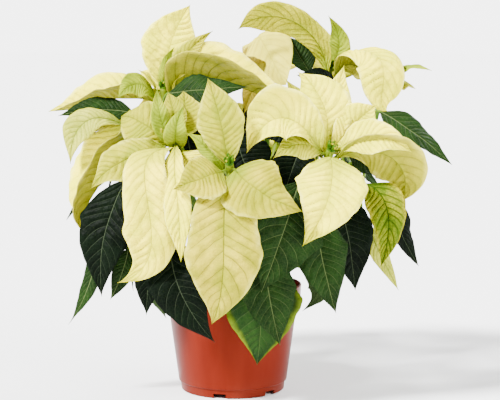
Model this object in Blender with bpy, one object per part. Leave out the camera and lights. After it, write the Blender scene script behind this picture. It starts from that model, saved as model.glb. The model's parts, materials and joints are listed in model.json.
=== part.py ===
"""A cream poinsettia in its nursery pot.

Ten leafy stems branch from one short main stem. Each ends in a rosette of bracts round a
small cluster of flowers. Lengths are in millimetres up to the point where a mesh is made.
"""

import functools
import math
import random
from collections import namedtuple

import bmesh
import bpy
import numpy as np
from mathutils.bvhtree import BVHTree

MM = 0.001

# The pot, a thin moulded shell on a notched foot ring
POT_RIM_RADIUS = 65.0
POT_HEIGHT = 100.0
POT_FOOT_RADIUS = 49.5
POT_WALL = 1.6
POT_SIDES = 30
FOOT_HEIGHT = 8.0
FOOT_STEP = 1.7
FOOT_RING = 3.0
FOOT_RECESS = 3.0
FLOOR_TOP = 5.0
CENTRE_PAD = 14.0
BAND_BOTTOM = 86.0
BAND_BOTTOM_RADIUS = 61.5
BAND_STEP = 2.7
NOTCH_ANGLES = (-104, -44, 76, 166)
NOTCH_WIDTH = 12.0
NOTCH_HEIGHT = 4.0
DRAIN_HOLES = 4
DRAIN_CIRCLE = 30.0
DRAIN_RADIUS = 4.0
DRAIN_SIDES = 6
NOTCH_DEPTH = 12.0
TERRACOTTA = (0.55, 0.09, 0.035)

# The soil, the main stem in it, and the branches, each in its own collar on the main stem
GAP = 0.35
SOIL_DROP = 12.0
SOIL_MOUND = 3.0
TRUNK_FOOT = 62.0
TRUNK_RADIUS = 6.5
TRUNK_TOP = 128.0
TRUNK_SIDES = 12
COLLAR_REACH = 14.0
COLLAR_SIDES = 6
COLLAR_SWELL = 1.15
COLLAR_ROOT = 0.86
STEM_RADIUS = (3.4, 2.5)
STEM_SIDES = 6
STEM_ROWS = 7
STEM_PULL = (0.38, 0.34)
LEAF_STALK_PULL = 0.3
SOIL_BROWN = (0.035, 0.022, 0.014)
WOOD_BROWN = (0.10, 0.085, 0.035)

# A head: its neck over the stem, its bracts in a close spiral down from the top, and its flowers
PEDUNCLE_LENGTH = 22.0
CORE_RADIUS = 4.0
BRACT_TOP = 2.0
BRACT_STEP = 2.6
BRACT_TURN = 6
BRACT_STALK = 8.0
FLOWERS = 5
FLOWER_CIRCLE = 2.6
FLOWER_WIDTH = 3.5
FLOWER_HEIGHT = 7.5
CORE_SIDES = 7
CUSHION_HEIGHT = 1.6
CUSHION_SIDES = 6
FLOWER_SIDES = 4
FLOWER_YELLOW_GREEN = (0.45, 0.55, 0.08)

# A leaf or a bract, and the rows and columns of its solid
BLADE_THICKNESS = 0.8
LEAF_GREEN = (0.03, 0.085, 0.025)
BRACT_CREAM = (0.88, 0.80, 0.42)
STALK_RADIUS = {"leaf": 1.5, "bract": 1.3}
WAVES = 1.6
TAPER = 1.25
CORNER_SPREAD = 0.06
EDGE_LAG = 0.9
ROOT_SHARE = 0.75
BLADE_ROWS = np.array([0.0, 0.38, 1.0, 1.34, 1.68, 2.0])
BLADE_COLUMNS = (3, 5, 5, 5, 3, 1)
MIDDLE_WIDTH = 44.0
MIDDLE_COLUMNS = (3, 3, 3, 3, 3, 1)
PLAIN_ROWS = np.array([0.0, 0.38, 1.0, 1.5, 2.0])
PLAIN_COLUMNS = (3, 3, 3, 3, 1)
NARROW_WIDTH = 25.0
NARROW_ROWS = np.array([0.0, 0.6, 1.2, 2.0])
NARROW_COLUMNS = (3, 3, 3, 1)

# How the blades are set clear of each other: the room round a blade, how far it may be pushed along
# the line of sight, how far it may roll about its length, and how many ways are tried
CLEARANCE = 0.9
PUSHES = (0, -5, 5, -11, 11, -18, 18, -27, 27)
ROLLS = (0, -12, 12, -24, 24)
STALK_PLACES = (0.84, 0.66, 0.95, 0.48, 0.36)
LEAF_STEP = 0.06
MOST_TRIES = 260
MERGE_MM = 0.001
SHARP_ANGLE = 35.0

# What fills the sides and the back: for each head, the most bracts and leaves that are added there
SEED = 4
FULL_BRACT = 26.0
SMALLEST_GAP = 62.0
LEAF_TURN = 38.0
FILL_BRACT_LENGTH = (58, 82)
FILL_BRACT_SLIMNESS = 0.62
FILL_BRACT_CURL = (-25, 5)
FILL_LEAF_LENGTH = (78, 98)
FILL_LEAF_SLIMNESS = 0.5
FILL_LEAF_STALK = (24, 34)
FILL_LEAF_PLACES = (0.86, 0.6)
FORWARD_LIMIT = -0.35
BACK_HEADS = ("back_left", "back_right")
FILL = {
    "back_left": (7, 6),
    "back_right": (7, 6),
    "top_back": (4, 3),
    "top_left": (2, 3),
    "top_right": (2, 3),
    "right": (3, 3),
    "left": (2, 3),
    "front_left": (1, 0),
    "front_right": (1, 0),
}

# The plant is laid out as it is seen from this point, on the upright plane through the pot's axis.
EYE = np.array([16.4, -1400.0, 331.0])


def seen(x, z, y):
    """The point at depth y that is seen at x and z on the upright plane through the pot's axis."""
    return EYE + (np.array([x, 0.0, z]) - EYE) * (y - EYE[1]) / -EYE[1]


def unit(v):
    return v / np.linalg.norm(v)


# Each head: where its flowers are seen (x, z, depth), and how its stem leans at the top (right, up,
# to the front)
Head = namedtuple("Head", "x z y lean")
HEADS = {
    "front_centre": Head(-3, 213, -108, (0.0, 1.0, 0.55)),
    "front_right": Head(92, 226, -80, (0.35, 1.0, 0.45)),
    "front_left": Head(-53, 236, -75, (-0.2, 1.0, 0.4)),
    "left": Head(-93, 255, -15, (-0.4, 1.0, 0.1)),
    "top_left": Head(-64, 283, 18, (-0.1, 1.0, 0.0)),
    "top_right": Head(90, 302, 55, (0.15, 1.0, -0.1)),
    "top_back": Head(34, 300, 66, (0.0, 1.0, -0.1)),
    "right": Head(141, 290, 44, (0.2, 1.0, -0.1)),
    "back_right": Head(42, 232, 122, (0.3, 1.0, -0.6)),
    "back_left": Head(-78, 240, 98, (-0.45, 1.0, -0.5)),
}

# Where each branch leaves the main stem: its azimuth in degrees and its height
STARTS = {
    "front_centre": (-95, 104),
    "front_right": (-45, 119),
    "right": (-5, 104),
    "top_right": (28, 120),
    "top_back": (62, 105),
    "back_right": (92, 119),
    "back_left": (128, 106),
    "top_left": (160, 120),
    "left": (-168, 104),
    "front_left": (-132, 119),
}

# A bract or leaf. way: the points (x, z, depth) that its midrib passes, the last is its tip.
# face: where its upper side looks halfway along (right, up, to the front). fold: how far its halves
# lift, in degrees. curl: how much more they turn up towards the edge. wave: the height of the edge's
# waves. lobe: how far its corners stand out, as a share of the half width. widest: where along it is
# widest. twist: how far it turns about its midrib. round: how blunt its base is, from 0.4 for a broad
# one to 0.85. stem_at: where on its stem it grows. plain: a leaf or bract of the back, with fewer rows.
Blade = namedtuple("Blade", "head kind width face way fold curl wave lobe widest twist round stem_at plain",
                   defaults=(8, -12, 1.5, 0.0, 0.38, 0, 0.85, None, False))


def bract(head, width, face, way, **more):
    return Blade(head, "bract", width, face, way, **more)


def leaf(head, width, face, way, **more):
    return Blade(head, "leaf", width, face, way, **more)


BLADES = [
    bract("front_centre", 60, (0.2, 0.4, 1), [(26, 187, -132), (66, 168, -128)], widest=0.28, curl=-25,
          round=0.4),
    bract("front_centre", 45, (-0.2, 0.5, 1), [(-30, 199, -128), (-56, 189, -126)], wave=2),
    bract("front_right", 60, (0, 0.2, 1), [(92, 187, -112), (66, 135, -108)], widest=0.34, lobe=0.06,
          curl=-15, round=0.6),
    bract("front_left", 27, (-0.45, 0.1, 0.85), [(-54, 205, -112), (-51, 165, -120), (-49, 120, -114)],
          fold=12, widest=0.55),
    bract("front_centre", 62, (0, 0.1, 1), [(-8, 160, -134), (-9, 112, -132), (-20, 60, -116)], lobe=0.1,
          widest=0.52, round=0.4),
    bract("front_left", 45, (-0.15, 0.2, 1), [(-82, 210, -106), (-77, 155, -112), (-109, 100, -100)],
          curl=-18, lobe=0.12, widest=0.62, round=0.38),
    bract("front_centre", 40, (0, 0.3, 1), [(-11, 252, -100), (-23, 293, -88)], lobe=0.06, widest=0.5),
    bract("front_centre", 17, (0.3, 0.6, 1), [(-24, 228, -100), (-44, 243, -96)], wave=2),
    bract("front_right", 30, (-0.1, 0.5, 1), [(60, 231, -96), (38, 218, -98)], wave=1.5),
    bract("front_right", 58, (-0.1, 0.35, 1), [(45, 256, -84), (13, 223, -86)], fold=24, curl=22,
          lobe=0.1, widest=0.55, round=0.7),
    bract("front_right", 52, (0.3, 0.2, 1), [(84, 270, -66), (61, 299, -52)], fold=14, widest=0.5),
    bract("front_right", 36, (0.1, 0.2, 1), [(97, 275, -50), (104, 305, -36)]),
    bract("front_right", 32, (-0.2, 0.3, 1), [(67, 264, -58), (50, 292, -40)]),
    bract("front_right", 34, (0.0, 0.5, 1), [(126, 238, -84), (168, 224, -82)], fold=14, widest=0.46),
    bract("front_right", 36, (0.2, 0.3, 1), [(114, 250, -66), (134, 268, -56)], fold=10, widest=0.6),
    bract("front_right", 50, (0.3, 0.4, -1), [(144, 222, -78), (161, 204, -70), (156, 176, -62)], fold=6,
          widest=0.6),
    bract("front_right", 13, (0.6, 0.2, 1), [(104, 246, -66), (112, 262, -60)]),
    bract("front_left", 40, (-0.3, 0.5, 1), [(-102, 216, -86), (-134, 189, -84)], wave=2.5, widest=0.45),
    bract("front_left", 46, (-0.3, 0.5, 1), [(-82, 250, -68), (-104, 258, -40)], widest=0.5, curl=-25),
    bract("front_left", 20, (0.2, 0.2, 1), [(-68, 260, -70), (-70, 284, -62)]),
    bract("front_left", 22, (0.1, 0.4, 1), [(-52, 250, -80), (-46, 267, -78)], fold=20),
    bract("front_left", 24, (-0.1, 0.3, 1), [(-56, 264, -54), (-60, 280, -38)]),
    bract("front_left", 36, (0.2, 0.3, 1), [(-44, 260, -50), (-46, 281, -34)], widest=0.55),
    bract("front_left", 30, (0.2, 0.4, 1), [(-42, 215, -90), (-26, 196, -98)]),
    bract("top_left", 54, (0.0, 0.15, 1), [(-58, 322, 28), (-39, 361, 22)], lobe=0.05, widest=0.48),
    bract("top_left", 22, (0.1, 0.2, 1), [(-44, 314, 20), (-18, 337, 14)]),
    bract("top_left", 13, (-0.1, 0.2, 1), [(-62, 304, 12), (-54, 322, 10)]),
    bract("top_left", 28, (0, 0.5, 1), [(-92, 287, 0), (-107, 274, -10)], widest=0.45),
    bract("top_left", 56, (0.05, 1, 0.25), [(-100, 277, 20), (-136, 270, 18), (-172, 262, 16)], fold=40,
          curl=0),
    bract("top_left", 86, (0.1, 1, 0.1), [(-27, 294, 6), (18, 280, -4), (60, 271, -8)], fold=48,
          curl=-10, widest=0.33),
    bract("top_left", 10, (0.3, 0.8, 0.6), [(-77, 293, 12), (-88, 301, 8)]),
    bract("top_left", 9, (-0.3, 0.8, 0.6), [(-54, 290, 6), (-44, 297, 0)]),
    bract("top_right", 54, (0.4, 0.4, 0.9),
          [(112, 318, 44), (136, 314, 30), (141, 290, 18), (146, 260, 12)], curl=-30, fold=0,
          widest=0.64),
    bract("top_right", 24, (0.1, 0.1, 1), [(99, 326, 58), (89, 351, 60)], fold=25),
    bract("top_right", 31, (-0.3, 0.5, -1), [(77, 329, 42), (41, 350, 30), (20, 348, 26), (5, 338, 22)],
          fold=5, widest=0.72, round=0.6),
    bract("top_right", 30, (0.3, 0.6, -0.9), [(110, 306, 44), (128, 296, 36), (136, 280, 30)]),
    bract("top_right", 30, (0, 0.6, -0.6), [(84, 330, 84), (78, 347, 104)], plain=True),
    bract("left", 72, (-1, 0.35, 0.3), [(-113, 219, -28), (-134, 182, -38), (-139, 143, -36)], fold=44,
          curl=-8, widest=0.42, twist=45, round=0.5),
    bract("left", 30, (-0.3, 0.3, 1), [(-137, 253, -26), (-152, 213, -28)], widest=0.6),
    bract("top_back", 52, (-0.3, 0.3, 1), [(25, 331, 54), (34, 316, 34), (50, 287, 20)], curl=-25,
          fold=0, widest=0.5),
    bract("top_back", 40, (-0.2, 1, 0.2), [(4, 315, 42), (-16, 310, 30)]),
    bract("right", 22, (0, 1, 0.3), [(156, 300, 46), (186, 300, 44)]),
    bract("right", 26, (0.2, 1, 0.3), [(152, 287, 36), (171, 283, 34)]),
    leaf("front_right", 66, (0, 0.1, 1), [(62, 196, -82), (47, 146, -112), (27, 91, -108)], lobe=0.16,
         widest=0.45),
    leaf("front_centre", 46, (0, 0.1, 1), [(28, 140, -92), (34, 92, -104), (45, 40, -96)], lobe=0.08,
         widest=0.45),
    leaf("front_right", 46, (0.2, 0.1, 1), [(78, 168, -74), (86, 118, -92), (98, 71, -86)], lobe=0.08),
    leaf("front_right", 50, (0.3, 0.1, 1), [(98, 186, -50), (110, 138, -66), (116, 93, -62)]),
    leaf("front_centre", 68, (0, 0.1, 1), [(26, 118, -76), (27, 70, -86), (23, 21, -80)], lobe=0.1,
         widest=0.35),
    leaf("front_left", 50, (-0.1, 0.1, 1), [(-60, 150, -84), (-52, 98, -100), (-17, 43, -92)], lobe=0.08),
    leaf("left", 50, (-0.3, 0.1, 1), [(-100, 198, -52), (-120, 150, -66), (-124, 87, -60)], lobe=0.08),
    leaf("front_right", 37, (0.2, 0.6, 1),
         [(122, 194, -66), (143, 178, -84), (147, 150, -88), (140, 116, -80)], fold=8, widest=0.3),
    leaf("right", 32, (0.2, 0.8, 0.8), [(138, 262, 4), (164, 246, -8), (206, 212, -10)], widest=0.3),
    leaf("right", 30, (0.6, 0.2, 0.8), [(150, 186, -16), (157, 154, -24), (176, 116, -24)]),
    leaf("top_left", 36, (0, 0.7, 0.9), [(-60, 279, -4), (-30, 282, -30), (14, 285, -38)], widest=0.35),
    leaf("top_left", 30, (0, 0.6, 0.8), [(-92, 260, -2), (-124, 264, -6), (-163, 258, -10)]),
    leaf("top_right", 30, (0.4, 0.1, 1), [(72, 298, 52), (60, 318, 50), (51, 333, 46)], fold=30),
    leaf("front_right", 26, (0.2, 0.7, 0.8), [(108, 223, -52), (126, 214, -58), (144, 198, -58)]),
    leaf("left", 18, (-0.6, 0, 0.8), [(-128, 138, -34), (-136, 98, -38), (-156, 60, -34)], twist=60),
    leaf("front_left", 20, (-0.2, 0, 1), [(-98, 134, -50), (-105, 108, -54), (-116, 84, -50)]),
    leaf("front_left", 28, (-0.1, 0, 1), [(-78, 140, -52), (-80, 106, -60), (-82, 69, -54)], plain=True),
    leaf("left", 24, (0.2, 0, 1), [(-104, 182, -36), (-106, 152, -46), (-98, 129, -44)]),
    leaf("front_left", 24, (0.3, 0, -1), [(-68, 124, -34), (-72, 95, -42), (-63, 66, -40)]),
    leaf("right", 18, (0.3, 0, 1), [(124, 160, -40), (138, 130, -50), (157, 93, -48)]),
    leaf("front_right", 26, (0.5, 0.3, -0.8), [(62, 116, -44), (82, 96, -54), (66, 73, -56)], plain=True),
    leaf("right", 26, (-0.7, 0.3, 0.8), [(108, 226, -24), (114, 248, -18), (128, 268, -10)], plain=True),
    bract("top_back", 22, (0.3, 0.3, -1), [(20, 283, 44), (11, 260, 34)]),
    leaf("front_left", 38, (0, 0.3, 1), [(-46, 252, -34), (-41, 232, -40), (-36, 194, -44)], plain=True),
    leaf("front_centre", 54, (0, 0.3, 1), [(2, 240, -48), (8, 222, -54), (24, 184, -60)], plain=True),
    leaf("front_right", 42, (0, 0.2, 1), [(66, 234, -44), (56, 208, -54), (46, 174, -62)], plain=True),
    leaf("front_right", 30, (0, 0.3, 1), [(62, 252, -44), (46, 246, -50), (26, 238, -52)], plain=True),
    leaf("top_right", 26, (0.2, 0.3, 1), [(96, 284, 40), (84, 290, 36), (60, 296, 32)], plain=True),
    leaf("top_back", 22, (0.2, 0.3, 1), [(30, 281, 52), (20, 262, 44), (8, 234, 36)]),
    leaf("right", 44, (0.9, 0.5, 0.1), [(104, 214, 26), (126, 204, 34), (142, 166, 38)], plain=True),
    leaf("top_right", 46, (0.8, 0.5, -0.3), [(84, 186, 52), (106, 176, 66), (118, 132, 74)], plain=True),
    leaf("right", 44, (0.9, 0.4, 0.2), [(84, 152, 2), (106, 142, 6), (116, 98, 10)], plain=True),
    leaf("top_right", 42, (0.9, 0.5, 0), [(88, 244, 30), (108, 238, 22), (124, 204, 12)], plain=True),
    leaf("left", 44, (-0.9, 0.5, 0.1), [(-86, 186, 8), (-108, 178, 16), (-120, 138, 20)], plain=True),
    leaf("top_left", 44, (-0.8, 0.6, -0.2), [(-66, 214, 32), (-88, 208, 44), (-104, 170, 52)],
         plain=True),
    leaf("left", 42, (-0.9, 0.4, 0), [(-62, 140, -4), (-84, 132, -4), (-94, 92, -4)], plain=True),
    leaf("front_left", 38, (-0.9, 0.4, 0.1), [(-84, 222, -30), (-104, 216, -24), (-116, 182, -20)],
         plain=True),
]


def world(direction):
    """The unit vector of a direction given as right, up and to the front."""
    right, up, front = direction
    return unit(np.array([right, -front, up], dtype=float))


def turned(v, axis, degrees):
    """A vector turned about an axis."""
    angle = math.radians(degrees)
    along = axis * np.dot(axis, v)
    return along + (v - along) * math.cos(angle) + np.cross(axis, v) * math.sin(angle)


def curve_through(points, t):
    """The smooth curve through a few points, each at its share of their chain's length."""
    points = np.array(points)
    steps = np.linalg.norm(np.diff(points, axis=0), axis=1)
    knots = np.concatenate([[0.0], np.cumsum(steps)]) / steps.sum()
    place = np.zeros((len(t), 3))
    for i, point in enumerate(points):
        weight = np.ones(len(t))
        for j, knot in enumerate(knots):
            if j != i:
                weight = weight * (t - knot) / (knots[i] - knot)
        place += weight[:, None] * point
    return place


def bezier(a, b, c, d, t):
    t = np.asarray(t)[:, None]
    return (1 - t) ** 3 * a + 3 * (1 - t) ** 2 * t * b + 3 * (1 - t) * t ** 2 * c + t ** 3 * d


def directions(path):
    """The unit tangents of a row of points."""
    tangents = np.gradient(path, axis=0)
    return tangents / np.linalg.norm(tangents, axis=1)[:, None]


# Stems

def head_point(name):
    head = HEADS[name]
    return seen(head.x, head.z, head.y)


def collar_end(name):
    """Where a branch leaves its collar on the main stem, and its direction there."""
    azimuth, height = STARTS[name]
    around = math.radians(azimuth)
    out = np.array([math.cos(around), math.sin(around), 1.0]) / math.sqrt(2)
    return np.array([0, 0, height]) + out * COLLAR_REACH, out


def stem_path(name, t):
    """Points along a branch from its collar to the neck under its bracts."""
    start, out = collar_end(name)
    lean = world(HEADS[name].lean)
    top = head_point(name) - lean * PEDUNCLE_LENGTH
    start = start + out * GAP
    reach = np.linalg.norm(top - start)
    low, high = STEM_PULL
    return bezier(start, start + out * reach * low, top - lean * reach * high, top, t)


# Blades

Plan = namedtuple("Plan", "blade stalk points face")


def half_width(blade, t):
    """Half the width of a blade at the shares t of its length."""
    rise = np.sin(0.5 * math.pi * np.clip(t / blade.widest, 0, 1)) ** blade.round
    fall = np.cos(0.5 * math.pi * np.clip((t - blade.widest) / (1 - blade.widest), 0, 1)) ** TAPER
    corner = 1 + blade.lobe * np.exp(-((t - blade.widest) / CORNER_SPREAD) ** 2)
    return 0.5 * blade.width * rise * fall * corner


def blade_frames(plan, t):
    """Midrib points of a blade with their directions, sides and upper normals."""
    path = curve_through(plan.points, t)
    ahead = curve_through(plan.points, t + 0.01) - curve_through(plan.points, t - 0.01)
    along = ahead / np.linalg.norm(ahead, axis=1)[:, None]
    middle = curve_through(plan.points, np.array([0.5, 0.52]))
    spine = unit(middle[1] - middle[0])
    side = unit(np.cross(spine, plan.face))
    sides = []
    for share, tangent in zip(t, along):
        across = unit(side - tangent * np.dot(side, tangent))
        sides.append(turned(across, tangent, plan.blade.twist * (share - 0.5)))
    sides = np.array(sides)
    return path, along, sides, np.cross(sides, along)


def blade_sections(plan, shares, columns, thickness, grown=0.0):
    """The upper and lower points of a blade's cross sections, each as wide as the blade is there."""
    blade = plan.blade
    path, along, sides, normals = blade_frames(plan, shares)
    stalk = STALK_RADIUS[blade.kind]
    widths = np.maximum(half_width(blade, shares), stalk * 0.9) + grown
    sections = []
    for i, count in enumerate(columns):
        s = np.linspace(-1, 1, count) if count > 1 else np.zeros(1)
        size = np.abs(s)
        fold = math.radians(blade.fold)
        curl = math.radians(blade.curl) if abs(blade.curl) > 0.5 else math.radians(0.5)
        across = np.sign(s) * (np.sin(fold + curl * size) - math.sin(fold)) / curl
        lift = (math.cos(fold) - np.cos(fold + curl * size)) / curl
        swell = math.sin(math.pi * min(shares[i], 1.0))
        phase = WAVES * 2 * math.pi * shares[i] + EDGE_LAG * np.sign(s)
        ripple = blade.wave * swell * s ** 2 * np.sin(phase)
        middle = path[i] + sides[i] * (widths[i] * across)[:, None]
        middle = middle + normals[i] * (widths[i] * lift + ripple)[:, None]
        tilt = fold * np.sign(s) + curl * s
        upward = normals[i] * np.cos(tilt)[:, None] - sides[i] * np.sin(tilt)[:, None]
        half = np.full(count, thickness / 2)
        if i == 0:
            half = (stalk + grown) * np.sqrt(1 - ROOT_SHARE * s ** 2)
        sections.append((middle + upward * half[:, None], middle - upward * half[:, None]))
    return sections


def stalk_sections(plan, grown=0.0):
    """Six-sided sections of a stalk, from inside what carries it to just before its blade."""
    radius = STALK_RADIUS[plan.blade.kind] + grown
    path = np.array(list(plan.stalk) + [plan.points[0]])
    along = directions(path)[:-1]
    side = blade_frames(plan, np.zeros(1))[2][0]
    s = np.array([-1.0, 0.0, 1.0])
    half = radius * np.sqrt(1 - ROOT_SHARE * s ** 2)
    sections = []
    for point, tangent in zip(path[:-1], along):
        across = unit(side - tangent * np.dot(side, tangent))
        up = np.cross(across, tangent)
        middle = point + across * (s * radius * 0.9)[:, None]
        sections.append((middle + up * half[:, None], middle - up * half[:, None]))
    return sections


def row_shares(blade, rows):
    """Shares of a blade's length for its rows, with one at its widest place."""
    return np.where(rows < 1, rows * blade.widest, blade.widest + (rows - 1) * (1 - blade.widest))


@functools.lru_cache(maxsize=None)
def skin_faces(columns):
    """Triangles of a thin body from the columns of its cross sections, split alike on both faces."""
    upper, lower, start = [], [], 0
    for count in columns:
        upper.append(list(range(start, start + count)))
        lower.append(list(range(start + count, start + 2 * count)))
        start += 2 * count
    faces = []
    for i in range(len(columns) - 1):
        here, there = columns[i] - 1, columns[i + 1] - 1
        j = k = 0
        while j < here or k < there:
            next_here = (j + 1) / here if j < here else 2.0
            next_there = (k + 1) / there if k < there else 2.0
            tie = abs(next_here - next_there) < 1e-9
            if next_here < next_there - 1e-9 or (tie and next_here <= 0.5):
                corners = ((i, j), (i, j + 1), (i + 1, k))
                j += 1
            else:
                corners = ((i, j), (i + 1, k + 1), (i + 1, k))
                k += 1
            faces.append(tuple(upper[row][column] for row, column in corners))
            faces.append(tuple(lower[row][column] for row, column in reversed(corners)))
        for end in (0, -1):
            a, b = upper[i][end], lower[i][end]
            c, d = upper[i + 1][end], lower[i + 1][end]
            faces += [(a, c, b), (b, c, d)] if end == 0 else [(a, b, c), (b, d, c)]
    rim = upper[0] + lower[0][::-1]
    faces += [(rim[0], rim[i + 1], rim[i]) for i in range(1, len(rim) - 1)]
    rim = upper[-1] + lower[-1][::-1]
    faces += [(rim[0], rim[i], rim[i + 1]) for i in range(1, len(rim) - 1)]
    return faces


def skin(sections):
    """The points and triangles of a thin body."""
    columns = tuple(len(upper) for upper, lower in sections)
    points = np.concatenate([np.concatenate(section) for section in sections])
    return points, skin_faces(columns)


def coarse_sections(plan, grown=0.0):
    """The sections of a blade's solid, with its stalk. A narrow blade has fewer of them."""
    rows, columns = BLADE_ROWS, BLADE_COLUMNS
    if plan.blade.width < NARROW_WIDTH:
        rows, columns = NARROW_ROWS, NARROW_COLUMNS
    elif plan.blade.plain:
        rows, columns = PLAIN_ROWS, PLAIN_COLUMNS
    elif plan.blade.width < MIDDLE_WIDTH:
        columns = MIDDLE_COLUMNS
    thickness = BLADE_THICKNESS + 2 * grown
    blade = blade_sections(plan, row_shares(plan.blade, rows), columns, thickness, grown)
    return stalk_sections(plan, grown) + blade


# Placing the blades clear of each other

def tree_of(sections):
    points, faces = skin(sections)
    return points.min(axis=0), points.max(axis=0), BVHTree.FromPolygons(points.tolist(), faces)


def meets(one, other):
    """Whether two bodies touch, from their boxes and trees."""
    if np.any(one[0] > other[1]) or np.any(other[0] > one[1]):
        return False
    return bool(one[2].overlap(other[2]))


def bract_root(blade, rank, toward):
    """Where a bract leaves the axis of its head: to one side, and each one a little lower than the last."""
    axis = world(HEADS[blade.head].lean)
    foot = head_point(blade.head) - axis * (BRACT_TOP + BRACT_STEP * (rank % BRACT_TURN))
    ahead = unit(toward - foot)
    rise = np.dot(ahead, axis)
    behind = world(blade.face)
    behind = unit(behind - axis * np.dot(behind, axis))
    out = ahead - axis * rise - behind * max(rise, 0.0) ** 2
    out = unit(unit(out) + axis * 0.25 * rise)
    return [foot + out * 1.0], foot + out * BRACT_STALK


def leaf_root(head, base, ahead, place):
    """A leaf's stalk from its branch to the blade: out and up, then over into the midrib."""
    node, after = stem_path(head, np.array([place, place + 0.02]))
    along = unit(after - node)
    reach = np.linalg.norm(base - node)
    out = base - node
    out = unit(out - along * np.dot(out, along) * 0.5)
    pull = reach * LEAF_STALK_PULL
    path = bezier(node, node + (out + along * 0.6) * pull, base - ahead * pull, base, np.linspace(0, 1, 4))
    return list(path[:-1])


def make_plan(blade, rank, pushes, roll, place):
    """A blade's plan with its points pushed along the line of sight and its face rolled."""
    count = len(blade.way)
    way = []
    for i, (x, z, y) in enumerate(blade.way):
        share = (i + 1) / count if blade.kind == "bract" else i / (count - 1)
        bulge = 4 * share * (1 - share)
        way.append(seen(x, z, y + pushes[0] * bulge + pushes[1] * share))
    if blade.kind == "bract":
        stalk, base = bract_root(blade, rank, way[0])
        points = [base] + way
    else:
        points = way
        ahead = curve_through(points, np.array([0.0, 0.04]))
        stalk = leaf_root(blade.head, points[0], unit(ahead[1] - ahead[0]), place - LEAF_STEP * (rank % 4))
    face = world(blade.face)
    spine = unit(points[-1] - points[0])
    face = turned(face, spine, roll)
    return Plan(blade, stalk, points, face)


def ways_to_try(blade):
    """Pushes, rolls and places on the stem, from the smallest change to the largest."""
    places = (None,) if blade.kind == "bract" else STALK_PLACES
    if blade.stem_at is not None:
        places = (blade.stem_at,)
    trials = []
    for rank, place in enumerate(places):
        for middle in PUSHES:
            for tip in PUSHES:
                for roll in ROLLS:
                    cost = abs(middle) + 0.7 * abs(tip) + 0.5 * abs(roll) + 9 * rank
                    trials.append((cost, middle, tip, roll, place))
    trials.sort(key=lambda trial: trial[0])
    return trials[:MOST_TRIES]


def is_clear(plan, placed, fixed, same_too):
    """Whether a blade with room round it meets no blade of another head and nothing fixed."""
    sections = coarse_sections(plan, CLEARANCE)
    body = tree_of(sections)
    close = tree_of(coarse_sections(plan, GAP))
    name = (plan.blade.head, plan.blade.kind)
    for owner, tree in fixed:
        if owner != name and meets(close if owner[0] == name[0] else body, tree):
            return False
    free = tree_of(sections[len(plan.stalk) + 2:])
    for owner, whole, open_part in placed:
        if owner != name and meets(body, whole):
            return False
        if same_too and owner == name and meets(free, open_part):
            return False
    return True


def place_blades(fixed):
    """Plans for all blades: each one takes the first way that is clear of those before it."""
    plans, placed, counts = [], [], {}
    for blade, needed in blades_in_order(plans):
        rank = counts.get((blade.head, blade.kind), 0)
        plan = None
        for same_too in (True, False):
            for cost, middle, tip, roll, place in ways_to_try(blade):
                trial = make_plan(blade, rank, (middle, tip), roll, place)
                if is_clear(trial, placed, fixed, same_too):
                    plan = trial
                    break
            if plan or not needed:
                break
        if plan is None:
            continue
        counts[(blade.head, blade.kind)] = rank + 1
        sections = coarse_sections(plan)
        placed.append(((blade.head, blade.kind), tree_of(sections), tree_of(sections[len(plan.stalk) + 2:])))
        plans.append(plan)
    return plans


def as_seen(point):
    """A point given the way the layout gives it: where it is seen, and its depth."""
    spot = EYE + (point - EYE) * -EYE[1] / (point[1] - EYE[1])
    return spot[0], spot[2], point[1]


def widest_gap(head, plans):
    """The middle of the widest gap between a head's bracts, as a direction, and its size in degrees."""
    axis = world(HEADS[head].lean)
    right = unit(np.cross(axis, np.array([0.0, 1.0, 0.0])))
    back = np.cross(axis, right)
    turns = []
    for plan in plans:
        if plan.blade.head == head and plan.blade.kind == "bract" and plan.blade.width > FULL_BRACT:
            out = plan.points[-1] - head_point(head)
            turns.append(math.degrees(math.atan2(np.dot(out, back), np.dot(out, right))) % 360)
    turns = sorted(turns) or [270.0]
    gaps = [((b - a) % 360 or 360, a) for a, b in zip(turns, turns[1:] + turns[:1])]
    size, start = max(gaps)
    middle = math.radians(start + size / 2)
    return right * math.cos(middle) + back * math.sin(middle), size


def fill_bracts(plans, draw):
    """Bracts that close the gaps of the rosettes, away from the viewer."""
    for head, (count, leaves) in FILL.items():
        axis = world(HEADS[head].lean)
        for i in range(count):
            out, size = widest_gap(head, plans)
            seen_from_front = head not in BACK_HEADS
            if size < SMALLEST_GAP or (seen_from_front and out[1] < 0.15):
                break
            length = draw.uniform(*FILL_BRACT_LENGTH)
            centre = head_point(head)
            rise = draw.uniform(0.12, 0.3)
            droop = draw.uniform(-0.2, 0.2)
            middle = centre + out * length * 0.55 + axis * length * rise
            tip = centre + out * length + axis * length * droop
            face = as_direction(axis + out * 0.2)
            yield bract(head, length * FILL_BRACT_SLIMNESS, face, [as_seen(middle), as_seen(tip)],
                        curl=draw.uniform(*FILL_BRACT_CURL), plain=True)


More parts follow.
